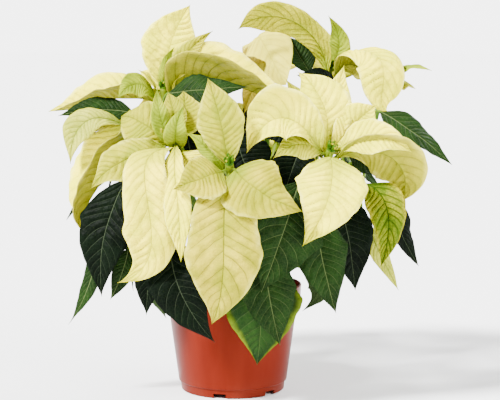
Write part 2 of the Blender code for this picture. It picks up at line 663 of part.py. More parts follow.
def fill_leaves(plans, draw):
    """Leaves round the branches, turned by the golden angle, away from the viewer."""
    for head, (bracts, count) in FILL.items():
        azimuth = math.degrees(math.atan2(head_point(head)[1], head_point(head)[0]))
        for i in range(count):
            around = math.radians(azimuth + LEAF_TURN * (i + 1) * (-1) ** i)
            out = np.array([math.cos(around), math.sin(around), 0.0])
            place = FILL_LEAF_PLACES[0] - FILL_LEAF_PLACES[1] * i / max(count - 1, 1)
            node = stem_path(head, np.array([place]))[0]
            if out[1] < FORWARD_LIMIT:
                continue
            length = draw.uniform(*FILL_LEAF_LENGTH)
            base = node + out * draw.uniform(*FILL_LEAF_STALK) + np.array([0, 0, draw.uniform(-4, 10)])
            middle = base + out * length * 0.45 - np.array([0, 0, length * draw.uniform(0.12, 0.3)])
            tip = base + out * length * 0.72 - np.array([0, 0, length * draw.uniform(0.6, 0.85)])
            face = as_direction(out * 0.6 + np.array([0, 0, 1.0]))
            way = [as_seen(base), as_seen(middle), as_seen(tip)]
            yield leaf(head, length * FILL_LEAF_SLIMNESS, face, way, plain=True, stem_at=place)


def as_direction(v):
    return v[0], v[2], -v[1]


def blades_in_order(plans):
    """The blades of the layout, and then those that fill the sides and the back."""
    for blade in BLADES:
        yield blade, True
    draw = random.Random(SEED)
    for blade in fill_bracts(plans, draw):
        yield blade, False
    for blade in fill_leaves(plans, draw):
        yield blade, False


# Round bodies

def across_of(along):
    """A direction square to another."""
    helper = np.array([0.0, 0.0, 1.0]) if abs(along[2]) < 0.9 else np.array([1.0, 0.0, 0.0])
    return unit(np.cross(along, helper))


def ring(centre, along, across, radius, sides):
    """Points of a circle round a direction, the first of them across it."""
    up = np.cross(across, along)
    turn = np.arange(sides) * 2 * math.pi / sides
    return centre + radius * (np.cos(turn)[:, None] * across + np.sin(turn)[:, None] * up)


def tube(path, radii, sides, ends=None):
    """A closed round body along a path. Its flat ends are square to it, or to the directions given."""
    path = np.array(path)
    along = directions(path)
    if ends:
        along[0], along[-1] = ends
    across = across_of(along[0])
    rings = []
    for centre, ahead, radius in zip(path, along, radii):
        across = unit(across - ahead * np.dot(across, ahead))
        rings.append(ring(centre, ahead, across, radius, sides))
    points = np.concatenate(rings)
    faces = []
    for i in range(len(path) - 1):
        for j in range(sides):
            a, b = i * sides + j, i * sides + (j + 1) % sides
            faces += [(a, b, b + sides), (a, b + sides, a + sides)]
    last = (len(path) - 1) * sides
    faces += [(0, j + 1, j) for j in range(1, sides - 1)]
    faces += [(last, last + j, last + j + 1) for j in range(1, sides - 1)]
    return points, faces


def solid_object(name, body):
    """An object from points in millimetres and faces, with its faces turned outwards."""
    points, faces = body
    mesh = bpy.data.meshes.new(name)
    mesh.from_pydata((np.array(points) * MM).tolist(), [], [list(face) for face in faces])
    form = bmesh.new()
    form.from_mesh(mesh)
    bmesh.ops.remove_doubles(form, verts=form.verts, dist=1e-6)
    bmesh.ops.dissolve_degenerate(form, edges=form.edges, dist=1e-6)
    bmesh.ops.recalc_face_normals(form, faces=form.faces)
    form.to_mesh(mesh)
    form.free()
    thing = bpy.data.objects.new(name, mesh)
    bpy.context.scene.collection.objects.link(thing)
    return thing


def largest_body(form):
    """Keeps a mesh's largest connected body and deletes scraps and sealed hollows."""
    unseen = set(form.faces)
    best = []
    while unseen:
        stack = [unseen.pop()]
        found = [stack[0]]
        while stack:
            for edge in stack.pop().edges:
                for face in edge.link_faces:
                    if face in unseen:
                        unseen.discard(face)
                        stack.append(face)
                        found.append(face)
        if len(found) > len(best):
            best = found
    keep = set(best)
    bmesh.ops.delete(form, geom=[face for face in form.faces if face not in keep], context="FACES")


def is_closed(form):
    return all(len(edge.link_faces) == 2 for edge in form.edges)


def joined(name, bodies, operation="UNION"):
    """One object from many bodies by a Boolean on a collection, which is then emptied."""
    things = [solid_object(f"{name}_{i}", body) for i, body in enumerate(bodies)]
    if len(things) == 1:
        things[0].name = name
        return things[0]
    base, rest = things[0], things[1:]
    group = bpy.data.collections.new(name + "_parts")
    for thing in rest:
        group.objects.link(thing)
    for solver in ("MANIFOLD", "EXACT"):
        modifier = base.modifiers.new("join", "BOOLEAN")
        modifier.operation = operation
        modifier.operand_type = "COLLECTION"
        modifier.collection = group
        modifier.solver = solver
        graph = bpy.context.evaluated_depsgraph_get()
        graph.update()
        mesh = bpy.data.meshes.new_from_object(base.evaluated_get(graph))
        base.modifiers.remove(modifier)
        form = bmesh.new()
        form.from_mesh(mesh)
        bmesh.ops.remove_doubles(form, verts=form.verts, dist=MERGE_MM * MM)
        bmesh.ops.triangulate(form, faces=form.faces)
        largest_body(form)
        closed = is_closed(form)
        form.to_mesh(mesh)
        form.free()
        if closed:
            break
    for thing in rest:
        bpy.data.objects.remove(thing)
    bpy.data.collections.remove(group)
    mesh.materials.clear()
    base.data = mesh
    base.name = name
    return base


# Materials

def material(name, colour, roughness):
    finish = bpy.data.materials.new(name)
    finish.use_nodes = True
    shader = finish.node_tree.nodes["Principled BSDF"]
    shader.inputs["Base Color"].default_value = (*colour, 1.0)
    shader.inputs["Roughness"].default_value = roughness
    shader.inputs["Metallic"].default_value = 0.0
    finish.diffuse_color = (*colour, 1.0)
    return finish


# The pieces

def pot_profile():
    """The pot's wall, floor and rim, from the axis under the floor and back to it inside."""
    outer = [(CENTRE_PAD, 0), (CENTRE_PAD, FOOT_RECESS), (POT_FOOT_RADIUS - FOOT_RING, FOOT_RECESS),
             (POT_FOOT_RADIUS - FOOT_RING, 0), (POT_FOOT_RADIUS - 0.8, 0), (POT_FOOT_RADIUS, FOOT_HEIGHT),
             (POT_FOOT_RADIUS + FOOT_STEP, FOOT_HEIGHT + 0.6), (BAND_BOTTOM_RADIUS, BAND_BOTTOM - 1.5),
             (BAND_BOTTOM_RADIUS + BAND_STEP, BAND_BOTTOM), (POT_RIM_RADIUS, POT_HEIGHT - 1),
             (POT_RIM_RADIUS - 0.5, POT_HEIGHT)]
    inner = [(POT_RIM_RADIUS - POT_WALL - 0.3, POT_HEIGHT),
             (BAND_BOTTOM_RADIUS + BAND_STEP - POT_WALL, BAND_BOTTOM + 2),
             (BAND_BOTTOM_RADIUS - POT_WALL, BAND_BOTTOM - 2), (POT_FOOT_RADIUS - POT_WALL, FOOT_HEIGHT + 4),
             (POT_FOOT_RADIUS - FOOT_RING, FLOOR_TOP)]
    return outer, inner


def capped_turned_body(profile, sides):
    """A turned body whose profile starts and ends on the axis."""
    points = [(0.0, 0.0, profile[0][1])]
    for r, z in profile:
        for i in range(sides):
            angle = 2 * math.pi * (i + 0.5) / sides
            points.append((r * math.cos(angle), r * math.sin(angle), z))
    points.append((0.0, 0.0, profile[-1][1]))
    last = len(points) - 1
    faces = [(0, 1 + (i + 1) % sides, 1 + i) for i in range(sides)]
    for row in range(len(profile) - 1):
        for i in range(sides):
            a, b = 1 + row * sides + i, 1 + row * sides + (i + 1) % sides
            faces.append((a, b, b + sides, a + sides))
    base = 1 + (len(profile) - 1) * sides
    faces += [(last, base + i, base + (i + 1) % sides) for i in range(sides)]
    return np.array(points), faces


def build_pot():
    outer, inner = pot_profile()
    cutters = []
    for degrees in NOTCH_ANGLES:
        around = math.radians(degrees)
        out = np.array([math.cos(around), math.sin(around), 0])
        size = (NOTCH_DEPTH, NOTCH_WIDTH, 2 * NOTCH_HEIGHT)
        cutters.append(box_body(out * (POT_FOOT_RADIUS - 1.5), out, size))
    for i in range(DRAIN_HOLES):
        around = 2 * math.pi * (i + 0.5) / DRAIN_HOLES
        centre = np.array([math.cos(around), math.sin(around), 0]) * DRAIN_CIRCLE
        path = [centre + np.array([0, 0, z]) for z in (-1.0, FLOOR_TOP + 1.0)]
        cutters.append(tube(path, (DRAIN_RADIUS, DRAIN_RADIUS), DRAIN_SIDES))
    pot = joined("pot", [capped_turned_body(outer + inner, POT_SIDES)] + cutters, "DIFFERENCE")
    pot.data.materials.append(material("terracotta_plastic", TERRACOTTA, 0.42))


def box_body(centre, out, size):
    """A box with its first side along out and its last upright."""
    side = np.array([-out[1], out[0], 0.0])
    up = np.array([0.0, 0.0, 1.0])
    points = [centre + out * a * size[0] / 2 + side * b * size[1] / 2 + up * c * size[2] / 2
              for a in (-1, 1) for b in (-1, 1) for c in (-1, 1)]
    faces = [(0, 1, 3, 2), (4, 6, 7, 5), (0, 4, 5, 1), (2, 3, 7, 6), (0, 2, 6, 4), (1, 5, 7, 3)]
    return points, faces


def build_soil():
    """The soil, clear of the pot by the gap, with a plain hole for the main stem."""
    band_low, wall_high, wall_low, floor = pot_profile()[1][1:]
    top = POT_HEIGHT - SOIL_DROP
    hole = TRUNK_RADIUS + GAP
    profile = [(floor[0] - 2 * GAP, FLOOR_TOP + GAP), (wall_low[0] - 2 * GAP, wall_low[1] + 1),
               (wall_high[0] - 2 * GAP, wall_high[1]), (band_low[0] - 2 * GAP, top + 1),
               (wall_high[0] * 0.7, top + SOIL_MOUND * 0.7), (hole, top + SOIL_MOUND),
               (hole, TRUNK_FOOT - GAP)]
    soil = joined("soil", [capped_turned_body(profile, POT_SIDES)])
    soil.data.materials.append(material("potting_soil", SOIL_BROWN, 0.95))


def main_stem_bodies():
    """The woody main stem with a short collar for each branch."""
    heights = (TRUNK_FOOT, POT_HEIGHT - SOIL_DROP, POT_HEIGHT, TRUNK_TOP - 4, TRUNK_TOP)
    radii = np.array([1.0, 1.0, 0.95, 0.85, 0.45]) * (TRUNK_RADIUS - 0.05)
    bodies = [tube([np.array([0.0, 0.0, z]) for z in heights], radii, TRUNK_SIDES)]
    for name in HEADS:
        end, out = collar_end(name)
        path = [end - out * COLLAR_REACH * share for share in (COLLAR_ROOT, 0.0)]
        bodies.append(tube(path, (STEM_RADIUS[0] * COLLAR_SWELL, STEM_RADIUS[0]), COLLAR_SIDES))
    return bodies


def build_main_stem():
    stem = joined("main_stem", main_stem_bodies())
    stem.data.materials.append(material("woody_stem", WOOD_BROWN, 0.8))


def stem_body(name):
    t = np.linspace(0, 1, STEM_ROWS)
    radii = STEM_RADIUS[0] + (STEM_RADIUS[1] - STEM_RADIUS[0]) * t
    return tube(stem_path(name, t), radii, STEM_SIDES, (collar_end(name)[1], world(HEADS[name].lean)))


def core_body(name):
    """The axis that carries a head's bracts, from just over its stem to the flowers."""
    axis = world(HEADS[name].lean)
    top = head_point(name)
    heights = np.array([PEDUNCLE_LENGTH - GAP, BRACT_TOP + BRACT_STEP * BRACT_TURN, 2.0, 0.0])
    radii = (STEM_RADIUS[1], 0.8 * CORE_RADIUS, CORE_RADIUS, CORE_RADIUS)
    return tube([top - axis * h for h in heights], radii, CORE_SIDES)


def flower_bodies(name):
    """A low cushion with a ring of small egg-shaped flowers."""
    axis = world(HEADS[name].lean)
    foot = head_point(name) + axis * GAP
    bodies = [tube([foot, foot + axis * CUSHION_HEIGHT], (CORE_RADIUS, CORE_RADIUS - 0.4), CUSHION_SIDES)]
    for centre in ring(foot + axis, axis, across_of(axis), FLOWER_CIRCLE, FLOWERS):
        lean = unit(axis + (centre - foot - axis) * 0.1)
        heights = (0.0, 0.6 * FLOWER_HEIGHT, FLOWER_HEIGHT)
        radii = np.array([0.28, 0.5, 0.2]) * FLOWER_WIDTH
        bodies.append(tube([centre + lean * h for h in heights], radii, FLOWER_SIDES))
    return bodies


def fixed_trees():
    """Trees of what the blades keep clear of: the pot, the stems, the cores and the flowers."""
    outer, inner = pot_profile()
    found = [(("pot", ""), body_tree(capped_turned_body(outer + inner, POT_SIDES)))]
    found += [(("main_stem", ""), body_tree(body)) for body in main_stem_bodies()]
    for name in HEADS:
        found.append(((name, "leaf"), body_tree(stem_body(name))))
        found.append(((name, "bract"), body_tree(core_body(name))))
        axis = world(HEADS[name].lean)
        heights = (GAP / 2, FLOWER_HEIGHT / 2, FLOWER_HEIGHT + 1.5)
        radii = np.array([1.05, 1.45, 1.3]) * CORE_RADIUS
        flowers = tube([head_point(name) + axis * h for h in heights], radii, CORE_SIDES)
        found.append(((name, "flowers"), body_tree(flowers)))
    return found


def body_tree(body):
    points, faces = body
    points = np.array(points)
    faces = [list(face) for face in faces]
    return points.min(axis=0), points.max(axis=0), BVHTree.FromPolygons(points.tolist(), faces)


def build_plant():
    plans = place_blades(fixed_trees())
    leaf_green = material("leaf_green", LEAF_GREEN, 0.45)
    cream = material("cream_bract", BRACT_CREAM, 0.55)
    flower_green = material("flower_green", FLOWER_YELLOW_GREEN, 0.5)
    for name in HEADS:
        leaves = [skin(coarse_sections(plan)) for plan in plans
                  if plan.blade.head == name and plan.blade.kind == "leaf"]
        stem = joined("leafy_stem_" + name, [stem_body(name)] + leaves)
        stem.data.materials.append(leaf_green)
        bracts = [skin(coarse_sections(plan)) for plan in plans
                  if plan.blade.head == name and plan.blade.kind == "bract"]
        head = joined("bracts_" + name, [core_body(name)] + bracts)
        head.data.materials.append(cream)
        flowers = joined("flowers_" + name, flower_bodies(name))
        flowers.data.materials.append(flower_green)


def smooth(thing):
    thing.data.shade_smooth()
    thing.data.set_sharp_from_angle(angle=math.radians(SHARP_ANGLE))


def main():
    for thing in list(bpy.data.objects):
        bpy.data.objects.remove(thing)
    build_pot()
    build_soil()
    build_main_stem()
    build_plant()
    for thing in bpy.data.objects:
        smooth(thing)


main()
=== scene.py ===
# %% [markdown]
# # A cream poinsettia in its nursery pot
#
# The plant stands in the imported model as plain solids: a pot, its soil, a main stem, and for each of
# ten branches a leafy stem, a rosette of bracts and a cluster of flowers. Here every one of them is
# replaced by a finer mesh of the same form. A poinsettia's "petals" are bracts: leaves that have lost
# their green. So one recipe makes both, and only the finish differs.
#
# Lengths are in millimetres until a mesh is written, where they become metres.

# %% Load the model
import itertools
import json
import math
import random
from collections import namedtuple

import bmesh
import bpy
import numpy as np
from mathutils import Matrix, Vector, noise

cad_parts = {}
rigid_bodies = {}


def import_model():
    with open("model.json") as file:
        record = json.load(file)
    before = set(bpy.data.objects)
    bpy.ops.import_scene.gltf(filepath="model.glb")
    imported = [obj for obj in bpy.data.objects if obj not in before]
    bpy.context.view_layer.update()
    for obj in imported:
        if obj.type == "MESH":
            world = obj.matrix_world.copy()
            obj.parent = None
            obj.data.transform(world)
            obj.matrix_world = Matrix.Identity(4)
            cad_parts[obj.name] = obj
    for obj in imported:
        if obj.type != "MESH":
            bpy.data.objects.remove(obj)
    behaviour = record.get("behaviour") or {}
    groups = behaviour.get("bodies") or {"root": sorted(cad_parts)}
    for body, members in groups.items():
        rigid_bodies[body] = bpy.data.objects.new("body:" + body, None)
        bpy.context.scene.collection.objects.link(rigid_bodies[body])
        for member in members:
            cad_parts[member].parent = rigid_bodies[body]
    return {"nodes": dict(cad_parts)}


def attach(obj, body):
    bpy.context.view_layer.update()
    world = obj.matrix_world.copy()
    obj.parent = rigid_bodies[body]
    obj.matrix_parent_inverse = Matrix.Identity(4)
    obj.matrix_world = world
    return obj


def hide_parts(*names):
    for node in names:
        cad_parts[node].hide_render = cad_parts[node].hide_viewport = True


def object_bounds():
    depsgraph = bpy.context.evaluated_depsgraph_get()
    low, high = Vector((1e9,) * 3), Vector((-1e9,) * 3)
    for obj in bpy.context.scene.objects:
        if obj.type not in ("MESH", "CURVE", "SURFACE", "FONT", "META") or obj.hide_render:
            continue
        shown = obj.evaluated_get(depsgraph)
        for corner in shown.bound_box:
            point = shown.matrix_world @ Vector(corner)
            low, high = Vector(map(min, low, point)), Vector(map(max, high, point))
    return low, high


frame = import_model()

MM = 0.001
model_box = [[round(float(v), 6) for v in corner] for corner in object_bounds()]
print("nodes:", len(frame["nodes"]), "box:", model_box)

# %% [markdown]
# ## Camera
#
# The photograph looks at the plant from a little above the bracts, a metre and a half away. The eye
# point is also needed later: the layout of the leaves is written as it is seen from there. A long
# lens keeps the pot's sides almost parallel, as the photograph shows them.

# %% Camera
EYE = np.array([16.4, -1400.0, 331.0])
CAMERA_TILT = 6.2
FOCAL_PIXELS = 1497.0
FRAME_WIDTH = 500
SENSOR = 36.0

camera = bpy.data.objects.new("camera", bpy.data.cameras.new("camera"))
camera.data.sensor_width = SENSOR
camera.data.lens = FOCAL_PIXELS / FRAME_WIDTH * SENSOR
camera.location = EYE * MM
camera.rotation_euler = (math.radians(90 - CAMERA_TILT), 0, 0)
bpy.context.scene.collection.objects.link(camera)
bpy.context.scene.camera = camera
print("lens:", round(camera.data.lens, 1), "mm")

# %% [markdown]
# ## Light and floor
#
# A catalogue photograph of a pale plant is taken on white paper. One strong soft light stands high on
# the left and models the quilted bracts, a weak one opposite opens the shadows, and one from behind
# shines through the blades. Lights a long way off keep the paper evenly bright. A sun lamp with a
# wide angle is just that: a soft light with no falloff. The pale surround lights the plant only a
# little, but the camera sees it as bright as the paper, so that no horizon shows from any side.

# %% Light and floor
def soft_light(name, place, strength, width):
    """A soft light far away in a direction. Its width is an angle in degrees."""
    light = bpy.data.objects.new(name, bpy.data.lights.new(name, "SUN"))
    light.data.energy = strength
    light.data.angle = math.radians(width)
    light.location = place
    light.rotation_euler = Vector(place).to_track_quat("Z", "Y").to_euler()
    bpy.context.scene.collection.objects.link(light)


soft_light("key_light", (-1.5, -1.0, 1.8), 17.5, 12)
soft_light("fill_light", (1.6, -1.0, 0.8), 4.8, 40)
soft_light("back_light", (1.2, 1.3, 1.4), 4.0, 30)

SURROUND_LIGHT = 0.55
SURROUND_SEEN = 5.3
studio = bpy.data.worlds.new("studio")
studio.use_nodes = True
surround = studio.node_tree.nodes["Background"]
surround.inputs["Color"].default_value = (1.0, 1.0, 1.0, 1.0)
seen = studio.node_tree.nodes.new("ShaderNodeMapRange")
seen.inputs["To Min"].default_value = SURROUND_LIGHT
seen.inputs["To Max"].default_value = SURROUND_SEEN
rays = studio.node_tree.nodes.new("ShaderNodeLightPath")
studio.node_tree.links.new(rays.outputs["Is Camera Ray"], seen.inputs["Value"])
studio.node_tree.links.new(seen.outputs["Result"], surround.inputs["Strength"])
bpy.context.scene.world = studio

FLOOR_SIZE = 60.0
FLOOR_DROP = 0.0005
PAPER_WHITE = (0.92, 0.92, 0.92, 1)
floor_mesh = bpy.data.meshes.new("floor")
form = bmesh.new()
bmesh.ops.create_grid(form, x_segments=4, y_segments=4, size=FLOOR_SIZE / 2)
form.to_mesh(floor_mesh)
form.free()
floor = bpy.data.objects.new("floor", floor_mesh)
floor.location.z = model_box[0][2] - FLOOR_DROP
bpy.context.scene.collection.objects.link(floor)
paper = bpy.data.materials.new("pale_paper")
paper.use_nodes = True
paper_shader = paper.node_tree.nodes["Principled BSDF"]
paper_shader.inputs["Base Color"].default_value = PAPER_WHITE
paper_shader.inputs["Roughness"].default_value = 0.9
floor_mesh.materials.append(paper)
print("lights:", [o.name for o in bpy.data.objects if o.type == "LIGHT"])

# %% [markdown]
# ## Where every branch, leaf and bract is
#
# A real poinsettia isn't laid out by a rule: some bracts hang, some stand up, one is folded like a
# boat. So the blades that the photograph shows are written down one by one, as a maker would note
# them: where the midrib runs, how wide the blade is, which way its upper side looks. A point is
# noted where it is seen, on an upright plane through the pot's axis, and with its depth.

# %% Points as they are seen
def unit(v):
    """A direction of length 1."""
    return v / np.linalg.norm(v)


def seen(x, z, y):
    """The point at depth y that is seen at x and z on the upright plane through the pot's axis."""
    return EYE + (np.array([x, 0.0, z]) - EYE) * (y - EYE[1]) / -EYE[1]


def as_seen(point):
    """A point written the way the layout writes it: where it is seen, and its depth."""
    spot = EYE + (point - EYE) * -EYE[1] / (point[1] - EYE[1])
    return spot[0], spot[2], point[1]


print("a point 100 mm nearer than the axis:", np.round(seen(50, 200, -100), 1))

# %% Sizes
SEED = 4
GAP = 0.35
POT_RIM_RADIUS = 65.0
POT_HEIGHT = 100.0
POT_FOOT_RADIUS = 49.5
POT_WALL = 1.6
FOOT_HEIGHT = 8.0
FOOT_STEP = 1.7
FOOT_RING = 3.0
FOOT_RECESS = 3.0
FLOOR_TOP = 5.0
CENTRE_PAD = 14.0
BAND_BOTTOM = 86.0
BAND_BOTTOM_RADIUS = 61.5
BAND_STEP = 2.7
NOTCH_ANGLES = (-104, -44, 76, 166)
NOTCH_WIDTH = 12.0
NOTCH_HEIGHT = 4.0
DRAIN_HOLES = 4
DRAIN_CIRCLE = 30.0
DRAIN_RADIUS = 4.0
SOIL_DROP = 12.0
SOIL_MOUND = 3.0
TRUNK_FOOT = 62.0
TRUNK_RADIUS = 6.5
TRUNK_TOP = 128.0
COLLAR_REACH = 14.0
STEM_RADIUS = (3.4, 2.5)
PEDUNCLE_LENGTH = 22.0
CORE_RADIUS = 4.0
BRACT_TOP = 2.0
BRACT_STEP = 2.6
BRACT_TURN = 6
BRACT_STALK = 8.0
FLOWERS = 5
FLOWER_CIRCLE = 2.6
FLOWER_WIDTH = 3.5
FLOWER_HEIGHT = 7.5
STALK_RADIUS = {"leaf": 1.5, "bract": 1.3}
WAVES = 1.6
TAPER = 1.25
CORNER_SPREAD = 0.06
EDGE_LAG = 0.9
STEM_PULL = (0.38, 0.34)
LEAF_STALK_PULL = 0.3
print("pot:", 2 * POT_RIM_RADIUS, "mm across,", POT_HEIGHT, "mm high")

# %% Heads and branches
# Each head: where its flowers are seen (x, z, depth), and how its stem leans at the top
Head = namedtuple("Head", "x z y lean")
HEADS = {
    "front_centre": Head(-3, 213, -108, (0.0, 1.0, 0.55)),
    "front_right": Head(92, 226, -80, (0.35, 1.0, 0.45)),
    "front_left": Head(-53, 236, -75, (-0.2, 1.0, 0.4)),
    "left": Head(-93, 255, -15, (-0.4, 1.0, 0.1)),
    "top_left": Head(-64, 283, 18, (-0.1, 1.0, 0.0)),
    "top_right": Head(90, 302, 55, (0.15, 1.0, -0.1)),
    "top_back": Head(34, 300, 66, (0.0, 1.0, -0.1)),
    "right": Head(141, 290, 44, (0.2, 1.0, -0.1)),
    "back_right": Head(42, 232, 122, (0.3, 1.0, -0.6)),
    "back_left": Head(-78, 240, 98, (-0.45, 1.0, -0.5)),
}

# Where each branch leaves the main stem: its azimuth in degrees and its height
STARTS = {
    "front_centre": (-95, 104),
    "front_right": (-45, 119),
    "right": (-5, 104),
    "top_right": (28, 120),
    "top_back": (62, 105),
    "back_right": (92, 119),
    "back_left": (128, 106),
    "top_left": (160, 120),
    "left": (-168, 104),
    "front_left": (-132, 119),
}
print("heads:", len(HEADS))

# %% The blades, one by one
# A bract or leaf. way: the points (x, z, depth) that its midrib passes, the last is its tip.
# face: where its upper side looks halfway along (right, up, to the front). fold: how far its halves
# lift, in degrees. curl: how much more they turn up towards the edge. wave: the height of the edge's
# waves. lobe: how far its corners stand out, as a share of the half width. widest: where along it is
# widest. twist: how far it turns about its midrib. round: how blunt its base is, from 0.4 for a broad
# one to 0.85. stem_at: where on its stem it grows. push: how far its middle and its tip stand back from
# the noted depths. roll: how far its face is turned from the noted one. A push or a roll is what keeps
# a blade clear of its neighbours, as leaves on a real plant slide past one another.
Blade = namedtuple("Blade", "head kind tint width face way fold curl wave lobe widest twist round "
                   "stem_at push roll", defaults=(8, -12, 1.5, 0.0, 0.38, 0, 0.85, 0.84, (0, 0), 0))


def bract(head, width, face, way, tint="cream", **more):
    """A note of a bract, full cream unless a tint is given."""
    return Blade(head, "bract", tint, width, face, way, **more)


def leaf(head, width, face, way, tint="green", **more):
    """A note of a leaf, green unless a tint is given."""
    return Blade(head, "leaf", tint, width, face, way, **more)

